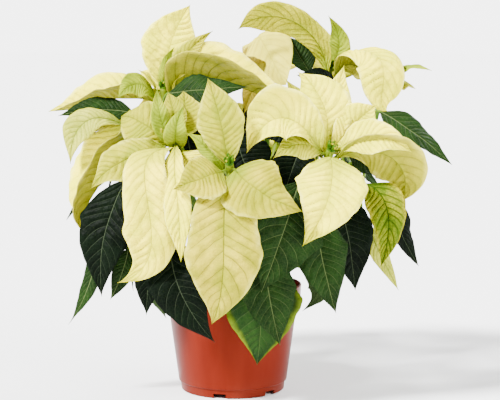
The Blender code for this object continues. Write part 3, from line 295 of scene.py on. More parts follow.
BLADES = [
    bract("front_centre", 60, (0.2, 0.4, 1), [(26, 187, -132), (66, 168, -128)], widest=0.28, curl=-25,
          round=0.4, tint="butter"),
    bract("front_centre", 45, (-0.2, 0.5, 1), [(-30, 199, -128), (-56, 189, -126)], wave=2, tint="butter"),
    bract("front_right", 60, (0, 0.2, 1), [(92, 187, -112), (66, 135, -108)], widest=0.34, lobe=0.06,
          curl=-15, round=0.6),
    bract("front_left", 27, (-0.45, 0.1, 0.85), [(-54, 205, -112), (-51, 165, -120), (-49, 120, -114)],
          fold=12, widest=0.55),
    # Painted shade: this low bract's finish is darker, for the plant's shade on it
    bract("front_centre", 62, (0, 0.1, 1), [(-8, 160, -134), (-9, 112, -132), (-20, 60, -116)], lobe=0.1,
          widest=0.52, round=0.4, tint="lined"),
    bract("front_left", 45, (-0.15, 0.2, 1), [(-82, 210, -106), (-77, 155, -112), (-109, 100, -100)],
          curl=-18, lobe=0.12, widest=0.62, round=0.38, tint="ribbed"),
    bract("front_centre", 40, (0, 0.3, 1), [(-11, 252, -100), (-23, 293, -88)], tint="pale", lobe=0.06,
          widest=0.5),
    bract("front_centre", 17, (0.3, 0.6, 1), [(-24, 228, -100), (-44, 243, -96)], tint="lime", wave=2),
    bract("front_right", 30, (-0.1, 0.5, 1), [(60, 231, -96), (38, 218, -98)], tint="pale", wave=1.5),
    bract("front_right", 58, (-0.1, 0.35, 1), [(45, 256, -84), (13, 223, -86)], fold=24, curl=22, lobe=0.1,
          widest=0.55, round=0.7),
    bract("front_right", 52, (0.3, 0.2, 1), [(84, 270, -66), (61, 299, -52)], fold=14, widest=0.5),
    bract("front_right", 36, (0.1, 0.2, 1), [(97, 275, -50), (104, 305, -36)]),
    bract("front_right", 32, (-0.2, 0.3, 1), [(67, 264, -58), (50, 292, -40)], tint="pale", push=(0, -5)),
    bract("front_right", 34, (0.0, 0.5, 1), [(126, 238, -84), (168, 224, -82)], fold=14, widest=0.46),
    bract("front_right", 36, (0.2, 0.3, 1), [(114, 250, -66), (134, 268, -56)], fold=10, widest=0.6),
    bract("front_right", 50, (0.3, 0.4, -1), [(144, 222, -78), (161, 204, -70), (156, 176, -62)], fold=6,
          widest=0.6),
    bract("front_right", 13, (0.6, 0.2, 1), [(104, 246, -66), (112, 262, -60)], tint="lime"),
    bract("front_left", 40, (-0.3, 0.5, 1), [(-102, 216, -86), (-134, 189, -84)], tint="pale", wave=2.5,
          widest=0.45),
    bract("front_left", 46, (-0.3, 0.5, 1), [(-82, 250, -68), (-104, 258, -40)], tint="pale", widest=0.5,
          curl=-25),
    bract("front_left", 20, (0.2, 0.2, 1), [(-68, 260, -70), (-70, 284, -62)], tint="lime"),
    bract("front_left", 22, (0.1, 0.4, 1), [(-52, 250, -80), (-46, 267, -78)], tint="lime", fold=20,
          push=(-11, 0)),
    bract("front_left", 24, (-0.1, 0.3, 1), [(-56, 264, -54), (-60, 280, -38)], tint="pale"),
    bract("front_left", 36, (0.2, 0.3, 1), [(-44, 260, -50), (-46, 281, -34)], tint="pale", widest=0.55,
          push=(0, 5)),
    bract("front_left", 30, (0.2, 0.4, 1), [(-42, 215, -90), (-26, 196, -98)]),
    bract("top_left", 54, (0.0, 0.15, 1), [(-58, 322, 28), (-39, 361, 22)], lobe=0.05, widest=0.48),
    bract("top_left", 22, (0.1, 0.2, 1), [(-44, 314, 20), (-18, 337, 14)], tint="pale"),
    bract("top_left", 13, (-0.1, 0.2, 1), [(-62, 304, 12), (-54, 322, 10)], tint="lime", push=(11, 0)),
    bract("top_left", 28, (0, 0.5, 1), [(-92, 287, 0), (-107, 274, -10)], tint="lime", widest=0.45),
    bract("top_left", 56, (0.05, 1, 0.25), [(-100, 277, 20), (-136, 270, 18), (-172, 262, 16)], fold=40,
          curl=0),
    bract("top_left", 86, (0.1, 1, 0.1), [(-27, 294, 6), (18, 280, -4), (60, 271, -8)], fold=48, curl=-10,
          widest=0.33, tint="ribbed"),
    bract("top_left", 10, (0.3, 0.8, 0.6), [(-77, 293, 12), (-88, 301, 8)]),
    bract("top_left", 9, (-0.3, 0.8, 0.6), [(-54, 290, 6), (-44, 297, 0)]),
    bract("top_right", 54, (0.4, 0.4, 0.9),
          [(112, 318, 44), (136, 314, 30), (141, 290, 18), (146, 260, 12)], curl=-30, fold=0, widest=0.64),
    bract("top_right", 24, (0.1, 0.1, 1), [(99, 326, 58), (89, 351, 60)], tint="lime", fold=25,
          push=(11, 0)),
    bract("top_right", 31, (-0.3, 0.5, -1), [(77, 329, 42), (41, 350, 30), (20, 348, 26), (5, 338, 22)],
          tint="veined", fold=5, widest=0.72, round=0.6),
    bract("top_right", 30, (0.3, 0.6, -0.9), [(110, 306, 44), (128, 296, 36), (136, 280, 30)],
          tint="olive"),
    bract("top_right", 30, (0, 0.6, -0.6), [(84, 330, 84), (78, 347, 104)], push=(11, 0)),
    bract("left", 72, (-1, 0.35, 0.3), [(-113, 219, -28), (-134, 182, -38), (-139, 143, -36)], fold=44,
          curl=-8, widest=0.42, twist=45, round=0.5),
    bract("left", 30, (-0.3, 0.3, 1), [(-137, 253, -26), (-152, 213, -28)], tint="veined", widest=0.6),
    # Painted shade: the top back bracts get a darker cream, for the shadow of the bract above
    bract("top_back", 52, (-0.3, 0.3, 1), [(25, 331, 54), (34, 316, 34), (50, 287, 20)], tint="buff",
          curl=-25, fold=0, widest=0.5, push=(11, 0)),
    bract("top_back", 40, (-0.2, 1, 0.2), [(4, 315, 42), (-16, 310, 30)], tint="buff"),
    bract("right", 22, (0, 1, 0.3), [(156, 300, 46), (186, 300, 44)], tint="lime", push=(5, 0)),
    bract("right", 26, (0.2, 1, 0.3), [(152, 287, 36), (171, 283, 34)], tint="pale", push=(0, 18)),
    leaf("front_right", 66, (0, 0.1, 1), [(62, 196, -82), (47, 146, -112), (27, 91, -108)], lobe=0.16,
         widest=0.45, push=(5, 0), roll=-12),
    leaf("front_centre", 46, (0, 0.1, 1), [(28, 140, -92), (34, 92, -104), (45, 40, -96)], lobe=0.08,
         widest=0.45),
    leaf("front_right", 46, (0.2, 0.1, 1), [(78, 168, -74), (86, 118, -92), (98, 71, -86)], lobe=0.08),
    leaf("front_right", 50, (0.3, 0.1, 1), [(98, 186, -50), (110, 138, -66), (116, 93, -62)], tint="dark"),
    leaf("front_centre", 68, (0, 0.1, 1), [(26, 118, -76), (27, 70, -86), (23, 21, -80)], tint="edged",
         lobe=0.1, widest=0.35),
    leaf("front_left", 50, (-0.1, 0.1, 1), [(-60, 150, -84), (-52, 98, -100), (-17, 43, -92)], tint="dark",
         lobe=0.08),
    leaf("left", 50, (-0.3, 0.1, 1), [(-100, 198, -52), (-120, 150, -66), (-124, 87, -60)], tint="dark",
         lobe=0.08),
    leaf("front_right", 37, (0.2, 0.6, 1),
         [(122, 194, -66), (143, 178, -84), (147, 150, -88), (140, 116, -80)], tint="variegated", fold=8,
         widest=0.3),
    leaf("right", 32, (0.2, 0.8, 0.8), [(138, 262, 4), (164, 246, -8), (206, 212, -10)], widest=0.3),
    leaf("right", 30, (0.6, 0.2, 0.8), [(150, 186, -16), (157, 154, -24), (176, 116, -24)], tint="dark"),
    leaf("top_left", 36, (0, 0.7, 0.9), [(-60, 279, -4), (-30, 282, -30), (14, 285, -38)], widest=0.35,
         push=(0, 11)),
    leaf("top_left", 30, (0, 0.6, 0.8), [(-92, 260, -2), (-124, 264, -6), (-163, 258, -10)]),
    leaf("top_right", 30, (0.4, 0.1, 1), [(72, 298, 52), (60, 318, 50), (51, 333, 46)], fold=30,
         push=(0, 11)),
    leaf("front_right", 26, (0.2, 0.7, 0.8), [(108, 223, -52), (126, 214, -58), (144, 198, -58)],
         push=(0, 5)),
    leaf("left", 18, (-0.6, 0, 0.8), [(-128, 138, -34), (-136, 98, -38), (-156, 60, -34)], twist=60),
    leaf("front_left", 20, (-0.2, 0, 1), [(-98, 134, -50), (-105, 108, -54), (-116, 84, -50)]),
    leaf("front_left", 28, (-0.1, 0, 1), [(-78, 140, -52), (-80, 106, -60), (-82, 69, -54)], tint="dark"),
    leaf("left", 24, (0.2, 0, 1), [(-104, 182, -36), (-106, 152, -46), (-98, 129, -44)]),
    leaf("front_left", 24, (0.3, 0, -1), [(-68, 124, -34), (-72, 95, -42), (-63, 66, -40)]),
    leaf("right", 18, (0.3, 0, 1), [(124, 160, -40), (138, 130, -50), (157, 93, -48)], tint="veined"),
    leaf("front_right", 26, (0.5, 0.3, -0.8), [(62, 116, -44), (82, 96, -54), (66, 73, -56)]),
    leaf("right", 26, (-0.7, 0.3, 0.8), [(108, 226, -24), (114, 248, -18), (128, 268, -10)], tint="dark"),
    # Painted shade: a darker cream, as on the other top back bracts
    bract("top_back", 22, (0.3, 0.3, -1), [(20, 283, 44), (11, 260, 34)], tint="buff"),
    leaf("front_left", 38, (0, 0.3, 1), [(-46, 252, -34), (-41, 232, -40), (-36, 194, -44)], tint="dark"),
    leaf("front_centre", 54, (0, 0.3, 1), [(2, 240, -48), (8, 222, -54), (24, 184, -60)], tint="dark"),
    leaf("front_right", 42, (0, 0.2, 1), [(66, 234, -44), (56, 208, -54), (46, 174, -62)], tint="dark"),
    leaf("front_right", 30, (0, 0.3, 1), [(62, 252, -44), (46, 246, -50), (26, 238, -52)], tint="dark"),
    leaf("top_right", 26, (0.2, 0.3, 1), [(96, 284, 40), (84, 290, 36), (60, 296, 32)], tint="dark"),
    leaf("top_back", 22, (0.2, 0.3, 1), [(30, 281, 52), (20, 262, 44), (8, 234, 36)], tint="dark"),
    leaf("right", 44, (0.9, 0.5, 0.1), [(104, 214, 26), (126, 204, 34), (142, 166, 38)]),
    leaf("top_right", 46, (0.8, 0.5, -0.3), [(84, 186, 52), (106, 176, 66), (118, 132, 74)]),
    leaf("right", 44, (0.9, 0.4, 0.2), [(84, 152, 2), (106, 142, 6), (116, 98, 10)]),
    leaf("top_right", 42, (0.9, 0.5, 0), [(88, 244, 30), (108, 238, 22), (124, 204, 12)], tint="dark",
         push=(-5, -18)),
    leaf("left", 44, (-0.9, 0.5, 0.1), [(-86, 186, 8), (-108, 178, 16), (-120, 138, 20)]),
    leaf("top_left", 44, (-0.8, 0.6, -0.2), [(-66, 214, 32), (-88, 208, 44), (-104, 170, 52)]),
    leaf("left", 42, (-0.9, 0.4, 0), [(-62, 140, -4), (-84, 132, -4), (-94, 92, -4)]),
    leaf("front_left", 38, (-0.9, 0.4, 0.1), [(-84, 222, -30), (-104, 216, -24), (-116, 182, -20)],
         tint="dark"),
]
print("blades written down:", len(BLADES))

# %% [markdown]
# ## From a layout to forms
#
# A midrib is a smooth curve through its few noted points. A stem is a Bezier curve from its collar
# to the neck under its bracts. Across the midrib a blade folds and curls, and its edge waves.

# %% Curves
def world(direction):
    """The unit vector of a direction given as right, up and to the front."""
    right, up, front = direction
    return unit(np.array([right, -front, up], dtype=float))


def turned(v, axis, degrees):
    """A vector turned about an axis."""
    angle = math.radians(degrees)
    along = axis * np.dot(axis, v)
    return along + (v - along) * math.cos(angle) + np.cross(axis, v) * math.sin(angle)


def curve_through(points, t):
    """The smooth curve through a few points, each at its share of their chain's length."""
    points = np.array(points)
    steps = np.linalg.norm(np.diff(points, axis=0), axis=1)
    knots = np.concatenate([[0.0], np.cumsum(steps)]) / steps.sum()
    place = np.zeros((len(t), 3))
    for i, point in enumerate(points):
        weight = np.ones(len(t))
        for j, knot in enumerate(knots):
            if j != i:
                weight = weight * (t - knot) / (knots[i] - knot)
        place += weight[:, None] * point
    return place


def bezier(a, b, c, d, t):
    """Points of a Bezier curve at the shares t."""
    t = np.asarray(t)[:, None]
    return (1 - t) ** 3 * a + 3 * (1 - t) ** 2 * t * b + 3 * (1 - t) * t ** 2 * c + t ** 3 * d


def directions(path):
    """The unit tangents of a row of points."""
    tangents = np.gradient(path, axis=0)
    return tangents / np.linalg.norm(tangents, axis=1)[:, None]


def head_point(name):
    """Where a head's flowers stand."""
    head = HEADS[name]
    return seen(head.x, head.z, head.y)


def collar_end(name):
    """Where a branch leaves its collar on the main stem, and its direction there."""
    azimuth, height = STARTS[name]
    around = math.radians(azimuth)
    out = np.array([math.cos(around), math.sin(around), 1.0]) / math.sqrt(2)
    return np.array([0, 0, height]) + out * COLLAR_REACH, out


def stem_path(name, t):
    """Points along a branch from its collar to the neck under its bracts."""
    start, out = collar_end(name)
    lean = world(HEADS[name].lean)
    top = head_point(name) - lean * PEDUNCLE_LENGTH
    start = start + out * GAP
    reach = np.linalg.norm(top - start)
    low, high = STEM_PULL
    return bezier(start, start + out * reach * low, top - lean * reach * high, top, t)


print("a branch starts at", np.round(collar_end("left")[0], 1), "and ends at", np.round(head_point("left"), 1))

# %% The form of a blade
Plan = namedtuple("Plan", "blade stalk points face")


def half_width(blade, t):
    """Half the width of a blade at the shares t of its length."""
    rise = np.sin(0.5 * math.pi * np.clip(t / blade.widest, 0, 1)) ** blade.round
    fall = np.cos(0.5 * math.pi * np.clip((t - blade.widest) / (1 - blade.widest), 0, 1)) ** TAPER
    corner = 1 + blade.lobe * np.exp(-((t - blade.widest) / CORNER_SPREAD) ** 2)
    return 0.5 * blade.width * rise * fall * corner


def blade_frames(plan, t):
    """Midrib points of a blade with their directions, sides and upper normals."""
    path = curve_through(plan.points, t)
    ahead = curve_through(plan.points, t + 0.01) - curve_through(plan.points, t - 0.01)
    along = ahead / np.linalg.norm(ahead, axis=1)[:, None]
    middle = curve_through(plan.points, np.array([0.5, 0.52]))
    spine = unit(middle[1] - middle[0])
    side = unit(np.cross(spine, plan.face))
    sides = []
    for share, tangent in zip(t, along):
        across = unit(side - tangent * np.dot(side, tangent))
        sides.append(turned(across, tangent, plan.blade.twist * (share - 0.5)))
    sides = np.array(sides)
    return path, along, sides, np.cross(sides, along)


print("half width of the first blade, halfway along:", round(float(half_width(BLADES[0], np.array([0.5]))[0]), 1))

# %% Round bodies and the pot's profile
def across_of(along):
    """A direction square to another."""
    helper = np.array([0.0, 0.0, 1.0]) if abs(along[2]) < 0.9 else np.array([1.0, 0.0, 0.0])
    return unit(np.cross(along, helper))


def ring(centre, along, across, radius, sides):
    """Points of a circle round a direction, the first of them across it."""
    up = np.cross(across, along)
    turn = np.arange(sides) * 2 * math.pi / sides
    return centre + radius * (np.cos(turn)[:, None] * across + np.sin(turn)[:, None] * up)


def tube(path, radii, sides):
    """A closed round body along a path, with flat ends square to it."""
    path = np.array(path)
    along = directions(path)
    across = across_of(along[0])
    rings = []
    for centre, ahead, radius in zip(path, along, radii):
        across = unit(across - ahead * np.dot(across, ahead))
        rings.append(ring(centre, ahead, across, radius, sides))
    points = np.concatenate(rings)
    faces = []
    for i in range(len(path) - 1):
        for j in range(sides):
            a, b = i * sides + j, i * sides + (j + 1) % sides
            faces += [(a, b, b + sides), (a, b + sides, a + sides)]
    last = (len(path) - 1) * sides
    faces += [(0, j + 1, j) for j in range(1, sides - 1)]
    faces += [(last, last + j, last + j + 1) for j in range(1, sides - 1)]
    return points, faces


def pot_profile():
    """The pot's wall, floor and rim, from the axis under the floor and back to it inside."""
    outer = [(CENTRE_PAD, 0), (CENTRE_PAD, FOOT_RECESS), (POT_FOOT_RADIUS - FOOT_RING, FOOT_RECESS),
             (POT_FOOT_RADIUS - FOOT_RING, 0), (POT_FOOT_RADIUS - 0.8, 0), (POT_FOOT_RADIUS, FOOT_HEIGHT),
             (POT_FOOT_RADIUS + FOOT_STEP, FOOT_HEIGHT + 0.6), (BAND_BOTTOM_RADIUS, BAND_BOTTOM - 1.5),
             (BAND_BOTTOM_RADIUS + BAND_STEP, BAND_BOTTOM), (POT_RIM_RADIUS, POT_HEIGHT - 1),
             (POT_RIM_RADIUS - 0.5, POT_HEIGHT)]
    inner = [(POT_RIM_RADIUS - POT_WALL - 0.3, POT_HEIGHT),
             (BAND_BOTTOM_RADIUS + BAND_STEP - POT_WALL, BAND_BOTTOM + 2),
             (BAND_BOTTOM_RADIUS - POT_WALL, BAND_BOTTOM - 2), (POT_FOOT_RADIUS - POT_WALL, FOOT_HEIGHT + 4),
             (POT_FOOT_RADIUS - FOOT_RING, FLOOR_TOP)]
    return outer, inner


def capped_turned_body(profile, sides):
    """A turned body whose profile starts and ends on the axis."""
    points = [(0.0, 0.0, profile[0][1])]
    for r, z in profile:
        for i in range(sides):
            angle = 2 * math.pi * (i + 0.5) / sides
            points.append((r * math.cos(angle), r * math.sin(angle), z))
    points.append((0.0, 0.0, profile[-1][1]))
    last = len(points) - 1
    faces = [(0, 1 + (i + 1) % sides, 1 + i) for i in range(sides)]
    for row in range(len(profile) - 1):
        for i in range(sides):
            a, b = 1 + row * sides + i, 1 + row * sides + (i + 1) % sides
            faces.append((a, b, b + sides, a + sides))
    base = 1 + (len(profile) - 1) * sides
    faces += [(last, base + i, base + (i + 1) % sides) for i in range(sides)]
    return np.array(points), faces


print("pot profile points:", sum(len(half) for half in pot_profile()))

# %% [markdown]
# ## From the notes to the plans
#
# A bract leaves the axis of its head a little lower than the one before it. A leaf's stalk leaves its
# branch and bends over into the midrib. The pushes and rolls in the notes were found by the search
# that placed the solids, so every fine blade stands where its solid is. The blades that no note
# describes fill the sides and the back: bracts close the widest gaps of the rosettes, and leaves
# stand round the branches.

# %% Plans from the layout
LEAF_STEP = 0.06
LEAVES_IN_A_ROW = 4
BRACT_START = 1.0
BRACT_RISE = 0.25
STALK_LEAN = 0.5
STALK_RISE = 0.6


def bract_root(blade, rank, toward):
    """Where a bract leaves the axis of its head: to one side, and each one a little lower than the last."""
    axis = world(HEADS[blade.head].lean)
    foot = head_point(blade.head) - axis * (BRACT_TOP + BRACT_STEP * (rank % BRACT_TURN))
    ahead = unit(toward - foot)
    rise = np.dot(ahead, axis)
    behind = world(blade.face)
    behind = unit(behind - axis * np.dot(behind, axis))
    out = ahead - axis * rise - behind * max(rise, 0.0) ** 2
    out = unit(unit(out) + axis * BRACT_RISE * rise)
    return [foot + out * BRACT_START], foot + out * BRACT_STALK


def leaf_root(head, base, ahead, place):
    """A leaf's stalk from its branch to the blade: out and up, then over into the midrib."""
    node, after = stem_path(head, np.array([place, place + 0.02]))
    along = unit(after - node)
    reach = np.linalg.norm(base - node)
    out = base - node
    out = unit(out - along * np.dot(out, along) * STALK_LEAN)
    pull = reach * LEAF_STALK_PULL
    path = bezier(node, node + (out + along * STALK_RISE) * pull, base - ahead * pull, base, np.linspace(0, 1, 4))
    return list(path[:-1])


def make_plan(blade, rank):
    """A blade's plan with its points pushed along the line of sight and its face rolled."""
    middle, tip = blade.push
    count = len(blade.way)
    way = []
    for i, (x, z, y) in enumerate(blade.way):
        share = (i + 1) / count if blade.kind == "bract" else i / (count - 1)
        bulge = 4 * share * (1 - share)
        way.append(seen(x, z, y + middle * bulge + tip * share))
    if blade.kind == "bract":
        stalk, base = bract_root(blade, rank, way[0])
        points = [base] + way
    else:
        points = way
        ahead = curve_through(points, np.array([0.0, 0.04]))
        place = blade.stem_at - LEAF_STEP * (rank % LEAVES_IN_A_ROW)
        stalk = leaf_root(blade.head, points[0], unit(ahead[1] - ahead[0]), place)
    face = turned(world(blade.face), unit(points[-1] - points[0]), blade.roll)
    return Plan(blade, stalk, points, face)


print("plan of the first blade: a stalk of", len(make_plan(BLADES[0], 0).stalk), "points")

# %% What fills the sides and the back
FULL_BRACT = 26.0
SMALLEST_GAP = 62.0
LEAF_TURN = 38.0
FILL_BRACT_LENGTH = (58, 82)
FILL_BRACT_SLIMNESS = 0.62
FILL_BRACT_CURL = (-25, 5)
FILL_BRACT_RISE = (0.12, 0.3)
FILL_BRACT_DROOP = (-0.2, 0.2)
FILL_BRACT_MIDDLE = 0.55
LEAST_BACKWARD = 0.15
FILL_LEAF_LENGTH = (78, 98)
FILL_LEAF_SLIMNESS = 0.5
FILL_LEAF_STALK = (24, 34)
FILL_LEAF_MIDDLE, FILL_LEAF_SAG = 0.45, (0.12, 0.3)
FILL_LEAF_REACH, FILL_LEAF_HANG = 0.72, (0.6, 0.85)
FILL_LEAF_PLACES = (0.86, 0.6)
FORWARD_LIMIT = -0.35
BACK_HEADS = ("back_left", "back_right")
FILL = {
    "back_left": (7, 6),
    "back_right": (7, 6),
    "top_back": (4, 3),
    "top_left": (2, 3),
    "top_right": (2, 3),
    "right": (3, 3),
    "left": (2, 3),
    "front_left": (1, 0),
    "front_right": (1, 0),
}
# Counted in the order in which they are drawn: the push and roll of the fill blades that need one,
# and those that are left out because they find no room between the others
FILL_WAYS = {6: ((0, 0), 12), 12: ((5, 0), 12), 13: ((-5, -5), 0), 28: ((0, 5), 0)}
FILL_LEFT_OUT = (17, 18, 24, 25, 26, 27, 29, 31)


def widest_gap(head, plans):
    """The middle of the widest gap between a head's bracts, as a direction, and its size in degrees."""
    axis = world(HEADS[head].lean)
    right = unit(np.cross(axis, np.array([0.0, 1.0, 0.0])))
    back = np.cross(axis, right)
    turns = []
    for plan in plans:
        if plan.blade.head == head and plan.blade.kind == "bract" and plan.blade.width > FULL_BRACT:
            out = plan.points[-1] - head_point(head)
            turns.append(math.degrees(math.atan2(np.dot(out, back), np.dot(out, right))) % 360)
    turns = sorted(turns) or [270.0]
    gaps = [((b - a) % 360 or 360, a) for a, b in zip(turns, turns[1:] + turns[:1])]
    size, start = max(gaps)
    middle = math.radians(start + size / 2)
    return right * math.cos(middle) + back * math.sin(middle), size


def fill_bracts(plans, draw):
    """Bracts that close the gaps of the rosettes, away from the viewer."""
    for head, (count, _) in FILL.items():
        axis = world(HEADS[head].lean)
        for _ in range(count):
            out, size = widest_gap(head, plans)
            seen_from_front = head not in BACK_HEADS
            if size < SMALLEST_GAP or (seen_from_front and out[1] < LEAST_BACKWARD):
                break
            length = draw.uniform(*FILL_BRACT_LENGTH)
            centre = head_point(head)
            rise = draw.uniform(*FILL_BRACT_RISE)
            droop = draw.uniform(*FILL_BRACT_DROOP)
            middle = centre + out * length * FILL_BRACT_MIDDLE + axis * length * rise
            tip = centre + out * length + axis * length * droop
            face = as_direction(axis + out * 0.2)
            yield bract(head, length * FILL_BRACT_SLIMNESS, face, [as_seen(middle), as_seen(tip)],
                        curl=draw.uniform(*FILL_BRACT_CURL))


def fill_leaves(draw):
    """Leaves round the branches, each turned further to the other side, away from the viewer."""
    for head, (_, count) in FILL.items():
        azimuth = math.degrees(math.atan2(head_point(head)[1], head_point(head)[0]))
        for i in range(count):
            around = math.radians(azimuth + LEAF_TURN * (i + 1) * (-1) ** i)
            out = np.array([math.cos(around), math.sin(around), 0.0])
            place = FILL_LEAF_PLACES[0] - FILL_LEAF_PLACES[1] * i / max(count - 1, 1)
            node = stem_path(head, np.array([place]))[0]
            if out[1] < FORWARD_LIMIT:
                continue
            length = draw.uniform(*FILL_LEAF_LENGTH)
            base = node + out * draw.uniform(*FILL_LEAF_STALK) + np.array([0, 0, draw.uniform(-4, 10)])
            sag = length * draw.uniform(*FILL_LEAF_SAG)
            hang = length * draw.uniform(*FILL_LEAF_HANG)
            middle = base + out * length * FILL_LEAF_MIDDLE - np.array([0, 0, sag])
            tip = base + out * length * FILL_LEAF_REACH - np.array([0, 0, hang])
            face = as_direction(out * 0.6 + np.array([0, 0, 1.0]))
            way = [as_seen(base), as_seen(middle), as_seen(tip)]
            yield leaf(head, length * FILL_LEAF_SLIMNESS, face, way, stem_at=place)


def as_direction(v):
    """A direction as right, up and to the front."""
    return v[0], v[2], -v[1]


def blades_in_order(plans):
    """The blades of the layout, and then those that fill the sides and the back."""
    yield from BLADES
    draw = random.Random(SEED)
    fill = itertools.chain(fill_bracts(plans, draw), fill_leaves(draw))
    for i, blade in enumerate(fill):
        if i not in FILL_LEFT_OUT:
            push, roll = FILL_WAYS.get(i, (blade.push, blade.roll))
            yield blade._replace(push=push, roll=roll)


print("heads that get more bracts or leaves:", len(FILL))

# %% Place every blade
plans, ranks = [], {}
for blade in blades_in_order(plans):
    shoot = (blade.head, blade.kind)
    rank = ranks.get(shoot, 0)
    ranks[shoot] = rank + 1
    plans.append(make_plan(blade, rank))
print("blades placed:", len(plans))

# %% [markdown]
# ## What every blade's surface shares
#
# A poinsettia leaf has one strong midrib and about thirteen side veins on each half, which leave it at a
# steep angle and bend towards the tip. Between them the blade swells up a little, like a quilt. The
# mesh and the finish have to agree on where the veins are, so both use one rule, the vein phase: it
# is a whole number on a vein. The mesh takes the swelling from it, and a shader node group takes the
# veins' colour and fine relief. The group is built once and placed in each finish.

# %% The vein rule
SIDE_VEINS = 13
VEIN_RISE = 0.17
VEIN_BEND = 1.15
VEIN_SHIFT = 0.35
VEIN_DRIFT = 0.3
DRIFT_TURNS = 14.0
DRIFT_OFFSET = 2.0


def vein_phase(s, t):
    """A whole number where a side vein runs. s is -1 to 1 across the blade, t is 0 to 1 along it."""
    drift = VEIN_DRIFT * np.sin(DRIFT_TURNS * t + DRIFT_OFFSET * (s > 0))
    return SIDE_VEINS * (t - VEIN_RISE * np.abs(s) ** VEIN_BEND) + VEIN_SHIFT * (s > 0) + drift


print("phase at the edge, halfway along:", round(float(vein_phase(np.array(1.0), 0.5)), 2))

# %% Small helpers for node trees
def socket_of(tree, value, target):
    """Feeds a socket from another socket, or sets its number or colour."""
    if isinstance(value, bpy.types.NodeSocket):
        tree.links.new(value, target)
    elif isinstance(value, (tuple, list)) and target.type == "RGBA" and len(value) == 3:
        target.default_value = (*value, 1.0)
    else:
        target.default_value = value


def calc(tree, operation, a, b=0.0, c=0.0):
    """A Math node, and its result."""
    node = tree.nodes.new("ShaderNodeMath")
    node.operation = operation
    for value, target in zip((a, b, c), node.inputs):
        socket_of(tree, value, target)
    return node.outputs[0]


def fade(tree, value, low, high, start=0.0, end=1.0):
    """A smooth step from start, where the value is low, to end, where it is high."""
    node = tree.nodes.new("ShaderNodeMapRange")
    node.interpolation_type = "SMOOTHSTEP"
    numbers = {"Value": value, "From Min": low, "From Max": high, "To Min": start, "To Max": end}
    for name, number in numbers.items():
        socket_of(tree, number, node.inputs[name])
    return node.outputs["Result"]


def mix(tree, share, a, b):
    """A mix of two colours."""
    node = tree.nodes.new("ShaderNodeMix")
    node.data_type = "RGBA"
    socket_of(tree, share, node.inputs[0])
    socket_of(tree, a, node.inputs[6])
    socket_of(tree, b, node.inputs[7])
    return node.outputs[2]


def set_inputs(node, **settings):
    """Sets inputs of a node by their names: base_color stands for Base Color."""
    for name, value in settings.items():
        name = name.replace("_", " ").title().replace("Ior", "IOR")
        socket_of(node.id_data, value, node.inputs[name])


def noise_of(tree, coordinates, scale, **settings):
    """The value of a noise texture at these coordinates."""
    node = tree.nodes.new("ShaderNodeTexNoise")
    set_inputs(node, vector=coordinates, scale=scale, **settings)
    return node.outputs[0]


def map_of(tree, name):
    """The coordinates of one of a mesh's maps."""
    node = tree.nodes.new("ShaderNodeUVMap")
    node.uv_map = name
    return node.outputs[0]


def object_place(tree):
    """The place of a surface point on its object, in metres."""
    return tree.nodes.new("ShaderNodeTexCoord").outputs["Object"]


def parts_of(tree, vector):
    """The three numbers of a vector."""
    node = tree.nodes.new("ShaderNodeSeparateXYZ")
    tree.links.new(vector, node.inputs[0])
    return node.outputs


def stretched(tree, coordinates, scale):
    """Coordinates scaled apart along their three directions."""
    node = tree.nodes.new("ShaderNodeMapping")
    set_inputs(node, vector=coordinates, scale=scale)
    return node.outputs[0]


def new_material(name, **settings):
    """A material, its node tree and its shader with some inputs set."""
    made = bpy.data.materials.new(name)
    made.use_nodes = True
    shader = made.node_tree.nodes["Principled BSDF"]
    set_inputs(shader, **settings)
    return made, made.node_tree, shader


def add_relief(tree, shader, height, strength, distance):
    """Small relief on a surface, as high as its distance in metres. A strength below 0 turns it over."""
    bump = tree.nodes.new("ShaderNodeBump")
    set_inputs(bump, strength=abs(strength), distance=distance, height=height)
    bump.invert = strength < 0
    tree.links.new(bump.outputs[0], shader.inputs["Normal"])


def new_group(name, inputs, outputs):
    """An empty node group with named number sockets."""
    tree = bpy.data.node_groups.new(name, "ShaderNodeTree")
    for socket, default in inputs.items():
        made = tree.interface.new_socket(socket, in_out="INPUT", socket_type="NodeSocketFloat")
        made.default_value = default
    for socket in outputs:
        tree.interface.new_socket(socket, in_out="OUTPUT", socket_type="NodeSocketFloat")
    return tree, tree.nodes.new("NodeGroupInput").outputs, tree.nodes.new("NodeGroupOutput").inputs


print("helpers ready")

# %% The node group for veins, mottling and painted valley shade
# A scale counts the cells in a decimetre of the blade. A width or a size is in millimetres, apart
# from those of the side veins and the net, which are shares of the distance from one to the next.
DECIMETRE = 100.0
WOBBLE_SCALE, WOBBLE = 9.0, 0.14
RIB_WIDTH, RIB_TAPER = 0.9, 0.55
NET_WIDTH = 0.13
PUCKER_SCALE, PUCKER_HEIGHT = 17.0, 3.0
FOLD_SCALE = 5.0
LEAF_FOLDS, BRACT_FOLDS = 3.0, 8.0
VEIN_WIDTH, SIDE_SHARE, NET_CELL, MOTTLE_SIZE = 0.06, 0.8, 2.6, 24.0


